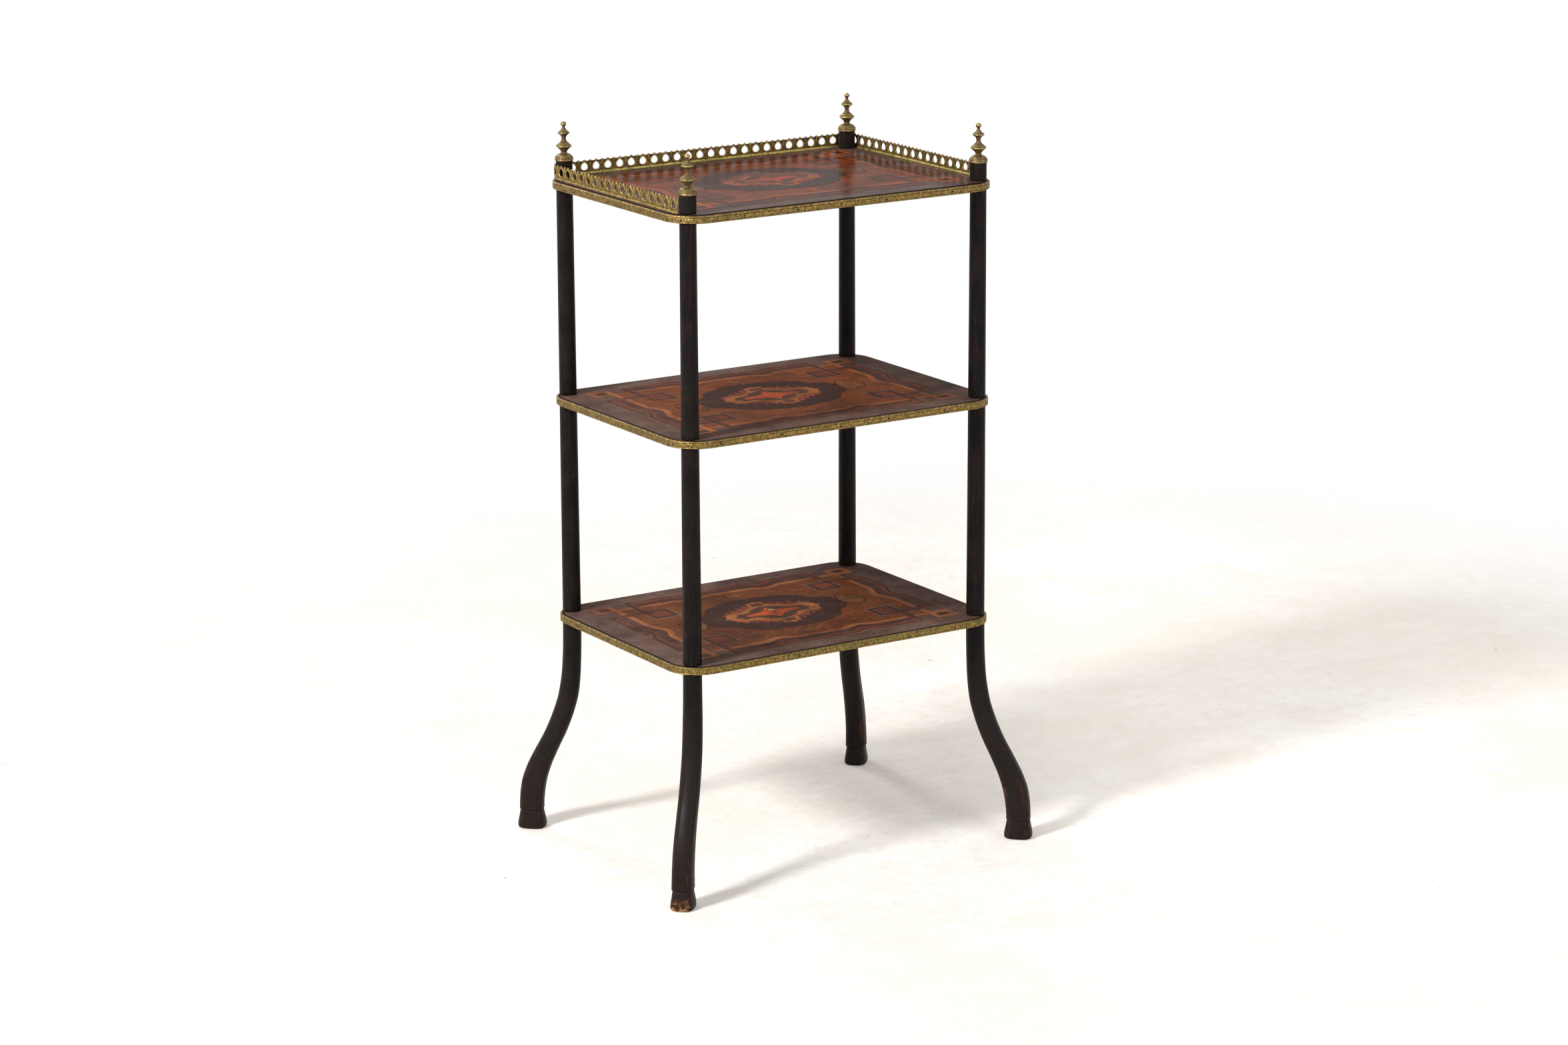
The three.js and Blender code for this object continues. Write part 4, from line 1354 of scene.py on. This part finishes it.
def floor_material():
    """Pale floor that keeps the shadow near the stand, with a painted glow that lightens the shadow on the
    right, and fades to plain white further away.
    """
    made = Nodes("floor", (234, 227, 218))
    made.tint(made.noise(1.7, 4, 0.6), 0.35, 0.7, 1, (247, 244, 240))
    made.tint(made.noise(45, 9, 0.85, 0.6), 0.42, 0.7, 0.6, (208, 200, 190))
    made.tint(made.noise(420, 3, 0.7), 0.5, 0.75, 0.4, (190, 180, 170))
    made.tint(made.noise(9, 7, 0.72, 0.8), 0.47, 0.7, 0.6, (222, 214, 204))
    made.tint(made.noise((9, 30, 1), 6, 0.7, 1.2, turn=0.6), 0.55, 0.7, 0.4, (255, 253, 251))
    scattered = made.range(made.noise(6, 5, 0.8), 0.52, 0.66)
    specks = made.range(made.cells(130, "2D"), 0.05, 0.13, 0.8, 0)
    made.lay(made.product(specks, scattered), (120, 102, 88))
    grit = made.range(made.noise(55, 2, 0.5), 0.735, 0.755)
    made.lay(made.product(grit, scattered), (96, 78, 62))
    seen = background_rays(made.tree)
    x, y, _ = made.split()
    # Painted light: the floor's warm glow for the camera grows towards the right, which lightens the stand's
    # shadow there.
    to_right = made.math("SUBTRACT", made.product(x, 0.85), made.product(y, 0.53))
    glow = made.range(to_right, 0.22, 0.5, 0.19, 0.31)
    made.put(made.shader.inputs["Emission Color"], (1, 0.94, 0.86, 1))
    made.put(made.shader.inputs["Emission Strength"], made.product(seen, glow))
    white = made.add("Emission", {"Color": WHITE, "Strength": 1})
    far = made.range(made.vector("DISTANCE", made.place, FADE_CENTRE, "Value"), *FADE)
    inputs = {0: made.product(far, seen), 1: made.shader.outputs[0], 2: white.outputs[0]}
    mixed = made.add("MixShader", inputs)
    made.put(made.tree.nodes["Material Output"].inputs["Surface"], mixed.outputs[0])
    return made.shade(0.9, specular=0.04)


def add_floor():
    points = [(side_x * FLOOR_HALF, side_y * FLOOR_HALF, -FLOOR_DROP) for side_x, side_y in QUARTERS]
    floor = make_mesh("floor", points, [(2, 3, 0, 1)])
    floor.data.materials.append(floor_material())


def add_world():
    """White where it is seen or mirrored, and softer for the light on the object."""
    world = bpy.data.worlds.new("studio")
    bpy.context.scene.world = world
    world.use_nodes = True
    tree = world.node_tree
    background = tree.nodes["Background"]
    background.inputs["Color"].default_value = WHITE
    strength = tree.nodes.new("ShaderNodeMapRange")
    strength.inputs["To Min"].default_value = 0.5
    strength.inputs["To Max"].default_value = 1
    tree.links.new(background_rays(tree), strength.inputs[0])
    tree.links.new(strength.outputs[0], background.inputs["Strength"])


# Lamps: place, target and size in metres, and power
LAMPS = {
    "key": ((-3.5, -0.7, 3), (0, 0, 0.4), 0.8, 190),
    "back": ((-0.2, 3.4, 3.2), (0, 0, 0.4), 0.9, 40),
    "front": ((0.6, -4.2, 1.8), (0, 0, 0.5), 2.4, 28),
}


def add_lamp(name, place, target, size, power):
    data = bpy.data.lights.new(name, "AREA")
    data.shape = "DISK"
    data.size = size
    data.energy = power
    lamp = bpy.data.objects.new(name, data)
    bpy.context.scene.collection.objects.link(lamp)
    lamp.location = place
    lamp.rotation_euler = (Vector(target) - Vector(place)).to_track_quat("-Z", "Y").to_euler()


# The camera, fitted to the stand's corners in the photograph
LENS = 97.99
SENSOR = 36
HEADING = math.radians(32.227)
TILT = math.radians(14.294)
ROLL = math.radians(-0.27)
AIM = Vector((0, 0, 0.585))
AIM_FROM_CAMERA = Vector((-0.01543, 0.16174, 5.4604))


def add_camera():
    """The camera at the photograph's angle."""
    level = Vector((math.cos(HEADING), -math.sin(HEADING), 0))
    forward = UP.cross(level) * math.cos(TILT) - UP * math.sin(TILT)
    upright = level.cross(forward)
    right = math.cos(ROLL) * level + math.sin(ROLL) * upright
    up = math.cos(ROLL) * upright - math.sin(ROLL) * level
    data = bpy.data.cameras.new("camera")
    data.lens = LENS
    data.sensor_width = SENSOR
    camera = bpy.data.objects.new("camera", data)
    bpy.context.scene.collection.objects.link(camera)
    turn = Matrix((right, up, -forward)).transposed()
    aim_from_camera = Matrix((right, up, forward)).transposed() @ AIM_FROM_CAMERA
    camera.matrix_world = Matrix.Translation(AIM - aim_from_camera) @ turn.to_4x4()
    bpy.context.scene.camera = camera


add_posts()
add_finials()
add_legs()
for shelf_name in SHELVES:
    add_core(shelf_name)
    add_border(shelf_name)
    add_marquetry(shelf_name)
add_bands()
add_gallery()
add_floor()
add_world()
for lamp_name, lamp_values in LAMPS.items():
    add_lamp(lamp_name, *lamp_values)
add_camera()
bpy.context.scene.view_settings.view_transform = "Standard"
